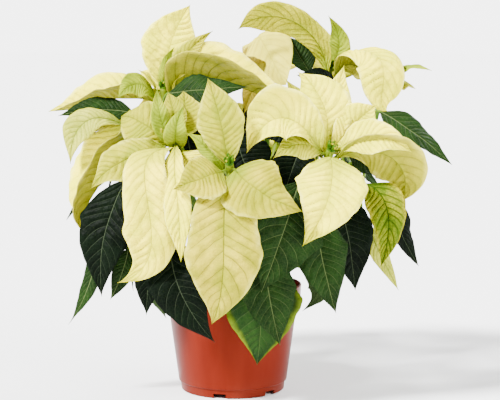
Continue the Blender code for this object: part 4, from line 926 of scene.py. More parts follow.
def build_vein_group():
    """Masks on a blade, from its two maps: across and along it, and its flat size in decimetres."""
    tree, given, made = new_group(
        "blade_pattern",
        {"Vein Width": VEIN_WIDTH, "Side Share": SIDE_SHARE, "Fold Height": LEAF_FOLDS, "Net Cell": NET_CELL,
         "Mottle Size": MOTTLE_SIZE},
        ["Veins", "Net", "Mottle", "Across", "Along", "Valley Shade", "Relief"],
    )
    across_along = parts_of(tree, map_of(tree, "blade"))
    signed = calc(tree, "MULTIPLY_ADD", across_along[0], 2.0, -1.0)
    across = calc(tree, "ABSOLUTE", signed)
    along = across_along[1]
    flat = map_of(tree, "flat")
    rise = calc(tree, "MULTIPLY", calc(tree, "POWER", across, VEIN_BEND), VEIN_RISE)
    phase = calc(tree, "MULTIPLY", calc(tree, "SUBTRACT", along, rise), SIDE_VEINS)
    wobble = noise_of(tree, flat, WOBBLE_SCALE, detail=1.0)
    right_half = calc(tree, "GREATER_THAN", signed, 0.0)
    offset = calc(tree, "MULTIPLY", right_half, DRIFT_OFFSET)
    drift = calc(tree, "SINE", calc(tree, "MULTIPLY_ADD", along, DRIFT_TURNS, offset))
    shift = calc(tree, "MULTIPLY_ADD", right_half, VEIN_SHIFT, calc(tree, "MULTIPLY", wobble, WOBBLE))
    shift = calc(tree, "MULTIPLY_ADD", drift, VEIN_DRIFT, shift)
    turns = calc(tree, "FRACT", calc(tree, "ADD", phase, shift))
    away = calc(tree, "SUBTRACT", 0.5, calc(tree, "ABSOLUTE", calc(tree, "SUBTRACT", turns, 0.5)))
    side = fade(tree, away, given["Vein Width"], 0.0)
    side = calc(tree, "MULTIPLY", side, fade(tree, across, 1.0, 0.55, 0.25))
    from_midrib = calc(tree, "MULTIPLY", calc(tree, "ABSOLUTE", parts_of(tree, flat)[0]), DECIMETRE)
    rib_width = calc(tree, "MULTIPLY_ADD", along, -RIB_TAPER, RIB_WIDTH)
    midrib = fade(tree, from_midrib, rib_width, 0.1)
    veins = calc(tree, "MAXIMUM", calc(tree, "MULTIPLY", side, given["Side Share"]), midrib)
    cells = tree.nodes.new("ShaderNodeTexVoronoi")
    cells.feature = "DISTANCE_TO_EDGE"
    set_inputs(cells, vector=flat, scale=calc(tree, "DIVIDE", DECIMETRE, given["Net Cell"]))
    net = fade(tree, cells.outputs[0], NET_WIDTH, 0.0)
    blotches = noise_of(tree, flat, calc(tree, "DIVIDE", DECIMETRE, given["Mottle Size"]), detail=3.0)
    mottle = fade(tree, blotches, 0.35, 0.65)
    pillow = calc(tree, "POWER", calc(tree, "MULTIPLY", away, 2.0), 0.6)
    relief = calc(tree, "SUBTRACT", calc(tree, "MULTIPLY_ADD", cells.outputs[0], 0.5, pillow), veins)
    pucker = noise_of(tree, flat, PUCKER_SCALE, detail=2.0)
    relief = calc(tree, "MULTIPLY_ADD", pucker, PUCKER_HEIGHT, relief)
    folds = noise_of(tree, flat, FOLD_SCALE, detail=1.0)
    relief = calc(tree, "MULTIPLY_ADD", folds, given["Fold Height"], relief)
    # Painted shade: the quilt's valleys beside the side veins, in patches
    valley_shade = calc(tree, "MULTIPLY", fade(tree, away, 0.42, 0.04), fade(tree, across, 1.0, 0.7))
    valley_shade = calc(tree, "MULTIPLY", valley_shade, fade(tree, wobble, 0.35, 0.6, 0.25, 1.0))
    for value, target in zip((veins, net, mottle, across, along, valley_shade, relief), made):
        tree.links.new(value, target)
    return tree


BLADE_PATTERN = build_vein_group()
print("group:", BLADE_PATTERN.name, "with", len(BLADE_PATTERN.nodes), "nodes")

# %% [markdown]
# ## The finishes of the blades
#
# Thirteen kinds of blade are made. Most bracts are cream, and some are buttery, ribbed, pale or olive. The lined
# bract low in front has dark green veins and a darker finish that is painted shade. The shaded cream at the top
# back is cream darkened as painted shade of the bract above. Young ones are lime green, and a few old ones are
# veined with green.
# Most leaves are green or dark with thin pale veins, and two odd ones are edged or variegated. Each
# kind has an upper side and an underside. Bracts let light through, so their shader scatters light
# under the surface: the light from behind then makes them glow.

# %% Colours
# base and second: the two colours of the mottling. root, edge and vein: tints there; on bracts the vein tint is
# also painted shade in the valleys between the veins. vein_share and net_share: how strong the veins and the fine
# net are. edge_from: where across it the edge tint starts. glow: how much light is scattered inside. relief: below
# 0 on an underside, where veins rise.
Finish = namedtuple("Finish", "base second root edge vein vein_share net_share edge_from rough glow relief")
FINISHES = {
    "cream": Finish((0.78, 0.74, 0.001), (1.0, 0.88, 0.012), (0.30, 0.35, 0.001), (0.98, 0.91, 0.15),
                    (0.44, 0.43, 0.005), 0.32, 0.06, 0.9, 0.5, 0.15, 0.75),
    "cream_under": Finish((0.29, 0.28, 0.004), (0.38, 0.345, 0.012), (0.18, 0.21, 0.001), (0.60, 0.54, 0.07),
                          (0.13, 0.14, 0.003), 0.75, 0.14, 0.85, 0.55, 0.15, -0.6),
    "butter": Finish((0.27, 0.26, 0.0004), (0.43, 0.37, 0.004), (0.168, 0.227, 0.0008), (0.55, 0.51, 0.06),
                     (0.185, 0.193, 0.0017), 0.38, 0.07, 0.9, 0.5, 0.15, 0.75),
    "butter_under": Finish((0.27, 0.26, 0.004), (0.34, 0.31, 0.010), (0.18, 0.225, 0.003), (0.52, 0.47, 0.030),
                           (0.13, 0.14, 0.003), 0.75, 0.14, 0.85, 0.55, 0.15, -0.6),
    "ribbed": Finish((0.68, 0.63, 0.001), (1.0, 0.85, 0.018), (0.29, 0.34, 0.001), (0.94, 0.84, 0.10),
                     (0.36, 0.36, 0.005), 0.42, 0.07, 0.9, 0.5, 0.15, 0.75),
    "ribbed_under": Finish((0.25, 0.25, 0.003), (0.35, 0.33, 0.010), (0.16, 0.205, 0.003), (0.50, 0.46, 0.030),
                           (0.055, 0.07, 0.002), 0.85, 0.2, 0.8, 0.55, 0.12, -0.9),
    # The lined finish: dark green veins on a base darker than cream, which is painted shade
    "lined": Finish((0.31, 0.29, 0.0010), (0.52, 0.43, 0.014), (0.227, 0.260, 0.0017), (0.62, 0.57, 0.08),
                    (0.085, 0.105, 0.003), 0.8, 0.12, 0.9, 0.5, 0.15, 0.7),
    "lined_under": Finish((0.42, 0.375, 0.02), (0.50, 0.44, 0.035), (0.30, 0.32, 0.012), (0.52, 0.46, 0.03),
                          (0.17, 0.18, 0.008), 0.75, 0.14, 0.85, 0.55, 0.15, -0.6),
    "pale": Finish((0.270, 0.287, 0.0009), (0.400, 0.374, 0.0043), (0.13, 0.175, 0.0006), (0.52, 0.50, 0.055),
                   (0.148, 0.174, 0.0017), 0.4, 0.07, 0.85, 0.5, 0.15, 0.75),
    "pale_under": Finish((0.34, 0.35, 0.012), (0.42, 0.42, 0.022), (0.24, 0.29, 0.008), (0.42, 0.41, 0.02),
                         (0.17, 0.20, 0.008), 0.6, 0.12, 0.85, 0.55, 0.15, -0.6),
    "lime": Finish((0.180, 0.243, 0.0018), (0.288, 0.342, 0.0036), (0.108, 0.180, 0.0018), (0.306, 0.342, 0.0045),
                   (0.108, 0.153, 0.0018), 0.45, 0.06, 0.85, 0.48, 0.12, 0.55),
    "lime_under": Finish((0.22, 0.27, 0.008), (0.29, 0.33, 0.012), (0.16, 0.22, 0.006), (0.28, 0.31, 0.012),
                         (0.13, 0.17, 0.005), 0.5, 0.1, 0.85, 0.5, 0.12, -0.6),
    "olive": Finish((0.32, 0.31, 0.012), (0.42, 0.39, 0.02), (0.20, 0.25, 0.01), (0.44, 0.41, 0.025),
                    (0.11, 0.13, 0.006), 0.75, 0.15, 0.8, 0.5, 0.12, 0.55),
    "olive_under": Finish((0.30, 0.29, 0.012), (0.40, 0.37, 0.02), (0.18, 0.22, 0.01), (0.42, 0.39, 0.025),
                          (0.10, 0.12, 0.005), 0.8, 0.15, 0.8, 0.55, 0.12, -0.65),
    # A darker cream as painted shade, for bracts in the shadow of the bract above them
    "buff": Finish((0.50, 0.44, 0.03), (0.62, 0.55, 0.05), (0.36, 0.35, 0.02), (0.55, 0.50, 0.04),
                   (0.34, 0.28, 0.02), 0.4, 0.06, 0.85, 0.5, 0.15, 0.4),
    "buff_under": Finish((0.40, 0.31, 0.015), (0.50, 0.39, 0.03), (0.30, 0.28, 0.010), (0.48, 0.38, 0.03),
                         (0.16, 0.13, 0.01), 0.65, 0.12, 0.85, 0.55, 0.15, -0.55),
    "veined": Finish((0.36, 0.38, 0.03), (0.48, 0.48, 0.05), (0.14, 0.20, 0.01), (0.42, 0.42, 0.03),
                     (0.12, 0.16, 0.008), 0.8, 0.3, 0.8, 0.5, 0.12, 0.6),
    "veined_under": Finish((0.36, 0.36, 0.002), (0.56, 0.52, 0.008), (0.19, 0.25, 0.002), (0.56, 0.52, 0.010),
                           (0.085, 0.11, 0.002), 0.85, 0.4, 0.8, 0.55, 0.12, -0.9),
    "green": Finish((0.0040, 0.0135, 0.0024), (0.0082, 0.0255, 0.0038), (0.0067, 0.0193, 0.0029),
                    (0.005, 0.0168, 0.0026), (0.109, 0.147, 0.05), 0.72, 0.07, 0.9, 0.48, 0.0, 0.6),
    "green_under": Finish((0.0204, 0.0374, 0.011), (0.0289, 0.051, 0.0153), (0.0255, 0.0459, 0.0119),
                          (0.0204, 0.0374, 0.0119), (0.051, 0.0765, 0.0289), 0.6, 0.2, 0.9, 0.6, 0.0, -0.5),
    "dark": Finish((0.0008, 0.0022, 0.0009), (0.0015, 0.0043, 0.0015), (0.0015, 0.0044, 0.0014),
                   (0.0014, 0.0041, 0.0015), (0.0527, 0.0697, 0.0382), 0.66, 0.04, 0.9, 0.5, 0.0, 0.6),
    "dark_under": Finish((0.013, 0.024, 0.009), (0.018, 0.034, 0.012), (0.018, 0.031, 0.01), (0.015, 0.026, 0.01),
                         (0.04, 0.06, 0.024), 0.55, 0.2, 0.9, 0.6, 0.0, -0.5),
    "edged": Finish((0.0038, 0.0151, 0.0035), (0.0109, 0.0319, 0.005), (0.0084, 0.0252, 0.005),
                    (0.101, 0.143, 0.0038), (0.0588, 0.0924, 0.0252), 0.6, 0.1, 0.78, 0.45, 0.0, 0.5),
    "edged_under": Finish((0.03, 0.05, 0.014), (0.04, 0.066, 0.017), (0.04, 0.06, 0.014), (0.10, 0.12, 0.01),
                          (0.055, 0.08, 0.025), 0.5, 0.2, 0.5, 0.6, 0.0, -0.5),
    "variegated": Finish((0.085, 0.128, 0.0017), (0.187, 0.196, 0.0034), (0.017, 0.051, 0.0017),
                         (0.323, 0.289, 0.0068), (0.0068, 0.0382, 0.0017), 0.95, 0.45, 0.8, 0.45, 0.05, 0.9),
    "variegated_under": Finish((0.24, 0.27, 0.015), (0.34, 0.35, 0.03), (0.10, 0.14, 0.01), (0.36, 0.34, 0.02),
                               (0.03, 0.07, 0.006), 0.8, 0.4, 0.75, 0.55, 0.05, -0.5),
}
NET_CELLS = {"variegated": 3.4, "variegated_under": 3.4}
VEIN_WIDTHS = {"green": 0.038, "dark": 0.036, "edged": 0.038, "variegated": 0.2}
SIDE_SHARES = {"cream": 0.5, "ribbed": 0.5, "butter": 0.55, "pale": 0.6, "lined": 0.7}
GLOSS = 0.06
LEAF_GLOSS = 0.035
print("finishes:", len(FINISHES))

# %% One material for each finish
SCATTER_RADIUS = (1.0, 0.9, 0.45)
SCATTER_DEPTH = 0.0012
# How strongly painted shade darkens a bract's valleys towards its vein colour
VALLEY_SHADE_SHARE = 0.22
CREASE_SHARE = 0.3
ROOT_TINT = 0.85
BLADE_RELIEF = 0.0009
BLADE_IOR = 1.4
LEAF_FINISHES = ("green", "dark", "edged", "variegated")


def blade_material(name):
    """A blade's material: mottled, root, edge and veins tinted, painted shade in bract valleys, light passing
    through.
    """
    look = FINISHES[name]
    is_leaf = name.startswith(LEAF_FINISHES)
    made, tree, shader = new_material(
        "blade_" + name, roughness=look.rough, ior=BLADE_IOR,
        specular_ior_level=LEAF_GLOSS if is_leaf else GLOSS, subsurface_weight=look.glow,
        subsurface_radius=SCATTER_RADIUS, subsurface_scale=SCATTER_DEPTH)
    pattern = tree.nodes.new("ShaderNodeGroup")
    pattern.node_tree = BLADE_PATTERN
    set_inputs(pattern, net_cell=NET_CELLS.get(name, NET_CELL), vein_width=VEIN_WIDTHS.get(name, VEIN_WIDTH),
               side_share=SIDE_SHARES.get(name, SIDE_SHARE), fold_height=LEAF_FOLDS if is_leaf else BRACT_FOLDS)
    masks = pattern.outputs
    colour = mix(tree, masks["Mottle"], look.base, look.second)
    colour = mix(tree, fade(tree, masks["Along"], 0.3, 0.0, 0.0, ROOT_TINT), colour, look.root)
    colour = mix(tree, fade(tree, masks["Across"], 0.35, 0.0, 0.0, CREASE_SHARE), colour, look.root)
    edge = calc(tree, "MULTIPLY_ADD", masks["Mottle"], 0.12, masks["Across"])
    colour = mix(tree, fade(tree, edge, look.edge_from, 1.1), colour, look.edge)
    # Painted shade: on bracts the valleys of the quilt take the vein colour
    if not is_leaf:
        valley_shade = calc(tree, "MULTIPLY", masks["Valley Shade"], VALLEY_SHADE_SHARE)
        colour = mix(tree, valley_shade, colour, look.vein)
    veins = calc(tree, "MULTIPLY", masks["Veins"], look.vein_share)
    net = calc(tree, "MULTIPLY", masks["Net"], look.net_share)
    colour = mix(tree, calc(tree, "MAXIMUM", veins, net), colour, look.vein)
    set_inputs(shader, base_color=colour)
    add_relief(tree, shader, masks["Relief"], look.relief, BLADE_RELIEF)
    return made


BLADE_MATERIALS = {name: blade_material(name) for name in FINISHES}
print("blade materials:", len(BLADE_MATERIALS))

# %% [markdown]
# ## Fine blades, stalks and stems
#
# Each blade is a grid of points on both of its sides, thin at the edge. The rows follow the midrib,
# and the columns are closer together near it, where the rib stands out below and sinks in above. The
# swelling between the veins, a few slow waves and a livelier edge are added along the blade's normal,
# so the form stays that of the solid while the surface gets what a photograph shows.

# %% Meshes from grids
# POINT is the radius of a ring that closes an end. FLAT_SCALE turns millimetres into decimetres.
POINT = 0.02
FLAT_SCALE = 0.01
TUBE_TURN = 0.06


class Cover:
    """Points, faces, finishes and blade maps that become one mesh."""

    def __init__(self, finishes):
        self.finishes = finishes
        self.points, self.faces, self.kinds = [], [], []
        self.blade_map, self.flat_map = [], []
        self.count = 0

    def add(self, points, faces, finish, across_along=None, flat=None):
        """Adds points with the quads between them. Maps have one pair for each point."""
        faces = np.asarray(faces)
        empty = np.zeros((len(points), 2))
        self.points.append(points)
        self.faces.append(faces + self.count)
        self.kinds.append(np.full(len(faces), self.finishes.index(finish)))
        self.blade_map.append(empty if across_along is None else across_along)
        self.flat_map.append(empty if flat is None else flat)
        self.count += len(points)

    def piece(self, name, materials):
        """The mesh object, in metres, with its maps and its materials."""
        points = np.concatenate(self.points) * MM
        faces = np.concatenate(self.faces)
        mesh = bpy.data.meshes.new(name)
        mesh.vertices.add(len(points))
        mesh.vertices.foreach_set("co", points.astype(np.float32).ravel())
        mesh.loops.add(faces.size)
        mesh.loops.foreach_set("vertex_index", faces.astype(np.int32).ravel())
        mesh.polygons.add(len(faces))
        mesh.polygons.foreach_set("loop_start", np.arange(0, faces.size, 4, dtype=np.int32))
        mesh.polygons.foreach_set("material_index", np.concatenate(self.kinds).astype(np.int32))
        mesh.update(calc_edges=True)
        for label, values in (("blade", self.blade_map), ("flat", self.flat_map)):
            layer = mesh.uv_layers.new(name=label)
            layer.uv.foreach_set("vector", np.concatenate(values)[faces.ravel()].astype(np.float32).ravel())
        for finish in self.finishes:
            mesh.materials.append(materials[finish])
        mesh.shade_smooth()
        thing = bpy.data.objects.new(name, mesh)
        bpy.context.scene.collection.objects.link(thing)
        return thing


def grid_faces(rows, columns, start=0, flip=False, closed=False):
    """The quads of a grid of points, row by row. closed joins the last column to the first."""
    wide = columns if closed else columns - 1
    row, column = np.meshgrid(np.arange(rows - 1), np.arange(wide), indexing="ij")
    a = (row * columns + column).ravel() + start
    b = (row * columns + (column + 1) % columns).ravel() + start
    quads = np.stack([a, b, b + columns, a + columns], axis=1)
    return quads[:, ::-1] if flip else quads


def fine_tube(cover, path, radii, sides, finish, ends=None):
    """A round tube along a path, closed at both ends by rings drawn in to a point."""
    path = np.array(path)
    along = directions(path)
    if ends:
        along[0], along[-1] = ends
    across = across_of(along[0])
    rings, places = [], []
    turn = np.linspace(0, 1, sides, endpoint=False)
    steps = np.concatenate([[0.0], np.cumsum(np.linalg.norm(np.diff(path, axis=0), axis=1))])
    rows = [(path[0], along[0], POINT, 0.0), *zip(path, along, radii, steps),
            (path[-1], along[-1], POINT, steps[-1])]
    for centre, ahead, radius, step in rows:
        across = unit(across - ahead * np.dot(across, ahead))
        rings.append(ring(centre, ahead, across, radius, sides))
        places.append(np.stack([turn * radius * TUBE_TURN, np.full(sides, step * FLAT_SCALE)], axis=1))
    count = len(rows)
    cover.add(np.concatenate(rings), grid_faces(count, sides, closed=True), finish,
             np.zeros((count * sides, 2)), np.concatenate(places))


print("mesh helpers ready")

# %% One fine blade
NARROW_WIDTH = 25.0
FINE_ROWS, FINE_COLUMNS = 82, 21
SMALL_ROWS, SMALL_COLUMNS = 46, 11
FINE_THICKNESS = 0.5
EDGE_THICKNESS = 0.16
TIP_WIDTH = 0.25
SWELL = {"leaf": 0.8, "bract": 1.3}
SLOW_WAVE = {"leaf": 1.3, "bract": 2.0}
QUILT_SHARPNESS = {"leaf": 0.7, "bract": 1.2}
RIB_HEIGHT = 0.9
RIB_GROOVE = 0.55
LEAST_CURL = 0.5
FLATTENED = 0.9
EDGE_WAVES = (3.7, 8.3)
NICKS = ((0.012, 37), (0.01, 61))


def blade_relief(plan, s, t, draw):
    """How far each point of the blade's middle surface is lifted from the plain form."""
    blade = plan.blade
    size = min(blade.width / 50.0, 1.15)
    s, t = np.meshgrid(s, t)
    edge = np.abs(s)
    # The quilt: low on the side veins, swollen between them, and more so in some patches
    phase = vein_phase(s, t)
    pillow = np.abs(np.sin(math.pi * phase)) ** QUILT_SHARPNESS[blade.kind] - 0.6
    turns = [draw.uniform(0, 2 * math.pi) for _ in range(6)]
    patches = np.sin(4.3 * t + 2.5 * s + turns[4]) * np.sin(9.0 * t - 3.0 * s + turns[5])
    pillow *= 1 + 0.45 * patches if blade.kind == "leaf" else np.clip(0.45 + 1.1 * patches, 0.08, 1.2)
    inner = np.clip(edge / 0.12, 0, 1) * (1 - edge ** 5)
    outline = np.sin(math.pi * np.clip(t, 0.001, 0.999)) ** 0.5
    lift = SWELL[blade.kind] * size * pillow * inner * outline
    # The midrib sinks in, slow waves run across, and quicker ones along the edge
    lift -= RIB_GROOVE * size * np.exp(-(s / 0.06) ** 2) * outline
    slow = np.sin(2.6 * s + 5.5 * t + turns[0]) * np.sin(7.0 * t - 2.0 * s + turns[1])
    lift += SLOW_WAVE[blade.kind] * size * slow * outline
    lively = blade.wave * 0.5 * size * edge ** 4 * outline
    lift += lively * np.sin(2 * math.pi * EDGE_WAVES[0] * t + turns[2] + np.sign(s))
    lift += 0.35 * lively * np.sin(2 * math.pi * EDGE_WAVES[1] * t + turns[3] - np.sign(s))
    return lift


def fine_blade(cover, plan, draw):
    """Both sides of a blade, the lower one with its rib, and the rim between them."""
    blade = plan.blade
    small = blade.width < NARROW_WIDTH
    rows, columns = (SMALL_ROWS, SMALL_COLUMNS) if small else (FINE_ROWS, FINE_COLUMNS)
    # Rows are closer at both ends, and columns near the midrib
    t = 0.5 - 0.5 * np.cos(math.pi * np.linspace(0, 1, rows))
    t = 0.6 * t + 0.4 * np.linspace(0, 1, rows)
    u = np.linspace(-1, 1, columns)
    s = np.sign(u) * np.abs(u) ** 1.35
    path, _, sides, normals = blade_frames(plan, t)
    stalk = STALK_RADIUS[blade.kind]
    least = stalk * FLATTENED * (1 - t) ** 3 + TIP_WIDTH
    width = np.maximum(half_width(blade, t), least)
    width = width * (1 + sum(depth * np.sin(turns * t + draw.uniform(0, 6)) for depth, turns in NICKS))
    # Across the midrib each half folds up and then curls
    fold = math.radians(blade.fold)
    curl = math.radians(blade.curl if abs(blade.curl) > LEAST_CURL else LEAST_CURL)
    size = np.abs(s)
    across = np.sign(s) * (np.sin(fold + curl * size) - math.sin(fold)) / curl
    rise = (math.cos(fold) - np.cos(fold + curl * size)) / curl
    tilt = fold * np.sign(s) + curl * s
    swell = np.sin(math.pi * t)[:, None]
    ripple = blade.wave * swell * s ** 2 * np.sin(WAVES * 2 * math.pi * t[:, None] + EDGE_LAG * np.sign(s))
    lift = width[:, None] * rise + ripple + blade_relief(plan, s, t, draw)
    middle = path[:, None] + sides[:, None] * (width[:, None] * across)[..., None]
    middle = middle + normals[:, None] * lift[..., None]
    upward = normals[:, None] * np.cos(tilt)[None, :, None] - sides[:, None] * np.sin(tilt)[None, :, None]
    # Two faces, thin at the edge, the lower one with the rib
    half = 0.5 * (EDGE_THICKNESS + (FINE_THICKNESS - EDGE_THICKNESS) * (1 - size ** 6))
    half = half[None, :] * np.clip(12 * (1 - t), 0.25, 1)[:, None]
    from_rib = np.abs(width[:, None] * s)
    rib = RIB_HEIGHT * (1 - t)[:, None] ** 0.7 * np.exp(-(from_rib / 0.95) ** 2)
    upper = middle + upward * half[..., None]
    lower = middle - upward * (half + rib)[..., None]
    length = np.linalg.norm(np.diff(path, axis=0), axis=1).sum()
    places = np.stack(np.meshgrid(s * 0.5 + 0.5, t), axis=-1).reshape(-1, 2)
    far = np.tile((t * length * FLAT_SCALE)[:, None], (1, columns))
    flat = np.stack([width[:, None] * s * FLAT_SCALE, far], axis=-1)
    flat[..., 1] += draw.randrange(40)
    flat = flat.reshape(-1, 2)
    finish = blade.tint
    cover.add(upper.reshape(-1, 3), grid_faces(rows, columns), finish, places, flat)
    start_upper = cover.count - rows * columns
    cover.add(lower.reshape(-1, 3), grid_faces(rows, columns, flip=True), finish + "_under", places, flat)
    start_lower = cover.count - rows * columns
    # A band closes the rim between them
    rim = [i * columns for i in range(rows)]
    rim += [(rows - 1) * columns + j for j in range(1, columns)]
    rim += [i * columns + columns - 1 for i in range(rows - 2, -1, -1)]
    rim += list(range(columns - 2, 0, -1))
    rim = np.array(rim)
    ahead = np.roll(rim, -1)
    band = np.stack([rim + start_upper, ahead + start_upper, ahead + start_lower, rim + start_lower], axis=1)
    cover.faces.append(band)
    cover.kinds.append(np.full(len(band), cover.finishes.index(finish)))
    return path, normals


STALK_POINTS = {"leaf": 14, "bract": 7}
STALK_SLIMNESS = 0.92
STALK_SIDES = 8
UNDER_BLADE = 0.5


def fine_stalk(cover, plan, path, normals, finish):
    """The stalk, from inside the stem to a little way under the blade."""
    radius = STALK_RADIUS[plan.blade.kind] * STALK_SLIMNESS
    first = np.array(list(plan.stalk) + [path[0]])
    count = STALK_POINTS[plan.blade.kind]
    shares = np.linspace(0, 1, count)
    run = curve_through(first, shares) if len(first) > 2 else first[0] + (first[1] - first[0]) * shares[:, None]
    under = path[1:9] - normals[1:9] * UNDER_BLADE
    whole = np.concatenate([run, under])
    radii = np.concatenate([np.full(count, radius), radius * np.linspace(0.92, 0.3, len(under))])
    fine_tube(cover, whole, radii, STALK_SIDES, finish)


print("blade helpers ready")

# %% [markdown]
# ## Leafy stems and rosettes
#
# A branch is green and smooth, a little thicker where a leaf stands on it. The rosette's bracts are
# crowded on a short pale axis at its top. Leaf stalks are a lighter green than the blades.

# %% Stalk and stem finishes
STREAK_STRETCH = (30.0, 3.0, 1.0)
STREAK_RELIEF = 0.0003


def plant_skin_material(name, colour, second, roughness, glow):
    """A smooth green cover with fine streaks along it."""
    made, tree, shader = new_material(
        name, roughness=roughness, specular_ior_level=GLOSS, subsurface_weight=glow,
        subsurface_radius=SCATTER_RADIUS, subsurface_scale=SCATTER_DEPTH)
    streaks = noise_of(tree, stretched(tree, map_of(tree, "flat"), STREAK_STRETCH), 2.5, detail=4.0)
    set_inputs(shader, base_color=mix(tree, fade(tree, streaks, 0.3, 0.7), colour, second))
    add_relief(tree, shader, streaks, 0.25, STREAK_RELIEF)
    return made


STALK_FINISHES = {
    "stem": plant_skin_material("stem_green", (0.03, 0.075, 0.004), (0.06, 0.12, 0.008), 0.42, 0.0),
    "leaf_stalk": plant_skin_material("leaf_stalk_green", (0.06, 0.12, 0.006), (0.11, 0.18, 0.012), 0.4, 0.1),
    "bract_stalk": plant_skin_material("bract_stalk_green", (0.062, 0.100, 0.0008), (0.115, 0.155, 0.0012),
                                       0.45, 0.1),
}
ALL_FINISHES = {**BLADE_MATERIALS, **STALK_FINISHES}
print("stalk finishes:", list(STALK_FINISHES))

# %% Make the leafy stems and the rosettes
STEM_POINTS, STEM_SIDES = 46, 14
CORE_SIDES = 16
NODE_SWELL, NODE_LENGTH = 0.55, 3.5


def finishes_of(plans, more):
    """The finishes that some blades and their stalks need, in a steady order."""
    tints = sorted({plan.blade.tint for plan in plans})
    return tints + [tint + "_under" for tint in tints] + more


def leafy_stem(name, plans, draw):
    """A branch with its leaves."""
    cover = Cover(finishes_of(plans, ["stem", "leaf_stalk"]))
    t = np.linspace(0, 1, STEM_POINTS)
    path = stem_path(name, t)
    reach = np.linalg.norm(np.diff(path, axis=0), axis=1).sum()
    radii = STEM_RADIUS[0] + (STEM_RADIUS[1] - STEM_RADIUS[0]) * t
    for plan in plans:
        nearest = np.argmin(np.linalg.norm(path - plan.stalk[0], axis=1)) / (STEM_POINTS - 1)
        radii = radii + NODE_SWELL * np.exp(-((t - nearest) * reach / NODE_LENGTH) ** 2)
    fine_tube(cover, path, radii, STEM_SIDES, "stem", (collar_end(name)[1], world(HEADS[name].lean)))
    for plan in plans:
        line, normals = fine_blade(cover, plan, draw)
        fine_stalk(cover, plan, line, normals, "leaf_stalk")
    piece = cover.piece("foliage_" + name, ALL_FINISHES)
    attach(piece, "root")
    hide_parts("leafy_stem_" + name)
    return piece


def rosette(name, plans, draw):
    """A head's bracts on their short axis."""
    cover = Cover(finishes_of(plans, ["bract_stalk"]))
    axis = world(HEADS[name].lean)
    top = head_point(name)
    heights = np.array([PEDUNCLE_LENGTH - GAP, 17.0, 12.0, BRACT_TOP + BRACT_STEP * 2, 2.0, 0.0])
    radii = np.array([STEM_RADIUS[1], 0.72 * CORE_RADIUS, 0.8 * CORE_RADIUS, CORE_RADIUS, CORE_RADIUS,
                      0.92 * CORE_RADIUS])
    fine_tube(cover, [top - axis * h for h in heights], radii, CORE_SIDES, "bract_stalk")
    for plan in plans:
        line, normals = fine_blade(cover, plan, draw)
        fine_stalk(cover, plan, line, normals, "bract_stalk")
    piece = cover.piece("rosette_" + name, ALL_FINISHES)
    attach(piece, "root")
    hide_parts("bracts_" + name)
    return piece


detail_draw = random.Random(SEED + 7)
for name in HEADS:
    mine = [plan for plan in plans if plan.blade.head == name]
    stem_piece = leafy_stem(name, [plan for plan in mine if plan.blade.kind == "leaf"], detail_draw)
    head_piece = rosette(name, [plan for plan in mine if plan.blade.kind == "bract"], detail_draw)
    print(name, len(mine), "blades,", len(stem_piece.data.polygons) + len(head_piece.data.polygons), "faces")

# %% [markdown]
# ## The true flowers
#
# The small green cups in the middle of each rosette are the real flowers. Each is a little barrel
# with a fringed mouth, and on its side sits one yellow lip that holds nectar. They are lathed: a
# profile turned round each cup's own axis, with a few lobes.

# %% Flower finishes
FLOWER_SCATTER_DEPTH = 0.0015
FLOWER_BLOTCHES = 350.0


def fleshy_material(name, colour, second, roughness, glow):
    """A smooth fleshy surface with soft blotches."""
    made, tree, shader = new_material(
        name, roughness=roughness, specular_ior_level=GLOSS, subsurface_weight=glow,
        subsurface_radius=SCATTER_RADIUS, subsurface_scale=FLOWER_SCATTER_DEPTH)
    blotches = noise_of(tree, object_place(tree), FLOWER_BLOTCHES, detail=2.0)
    set_inputs(shader, base_color=mix(tree, fade(tree, blotches, 0.35, 0.65), colour, second))
    return made


FLOWER_FINISHES = {
    "cup": fleshy_material("flower_cup_green", (0.016, 0.060, 0.0008), (0.045, 0.110, 0.0012), 0.45, 0.0),
    "lip": fleshy_material("nectar_lip_yellow", (0.22, 0.21, 0.0008), (0.32, 0.28, 0.001), 0.35, 0.1),
    "fringe": fleshy_material("flower_fringe", (0.07, 0.12, 0.001), (0.12, 0.13, 0.001), 0.5, 0.0),
}
print("flower finishes:", list(FLOWER_FINISHES))

# %% Make the flowers
CUP_SIDES = 15
CUP_LOBES = 5
CUP_LEAN, CUP_SCATTER = 0.1, 0.08
CUP_LOBE_DEPTH, FRINGE_LOBE_DEPTH = 0.04, 0.2
CUP_TALLNESS, CUP_WIDTHS = (0.8, 1.0), (0.88, 1.0)
LIP_HEIGHT, LIP_OUT, LIP_RISE = 0.66, 0.88, 0.5
# Profiles from the foot to the inside of the mouth: shares of the cup's radius and of its height
CUP = ((0.85, 0.25), (1, 0.5), (0.9, 0.72), (0.62, 0.88), (0.5, 0.94), (0.3, 0.93))
FRINGE = ((0.34, 0.86), (0.42, 1.0), (0.2, 1.04))
LIP = [(POINT, -0.4), (0.7, -0.2), (1.15, 0.25), (1.05, 0.5), (0.7, 0.3), (POINT, 0.15)]


def lathed(cover, foot, axis, across, profile, finish, lobes=0.0):
    """A turned body from (radius, height) pairs, with gentle lobes round it."""
    up = np.cross(across, axis)
    turn = np.arange(CUP_SIDES) * 2 * math.pi / CUP_SIDES
    rings = []
    for radius, height in profile:
        r = radius * (1 + lobes * np.cos(CUP_LOBES * turn))
        outward = (r * np.cos(turn))[:, None] * across + (r * np.sin(turn))[:, None] * up
        rings.append(foot + axis * height + outward)
    cover.add(np.concatenate(rings), grid_faces(len(profile), CUP_SIDES, closed=True), finish)


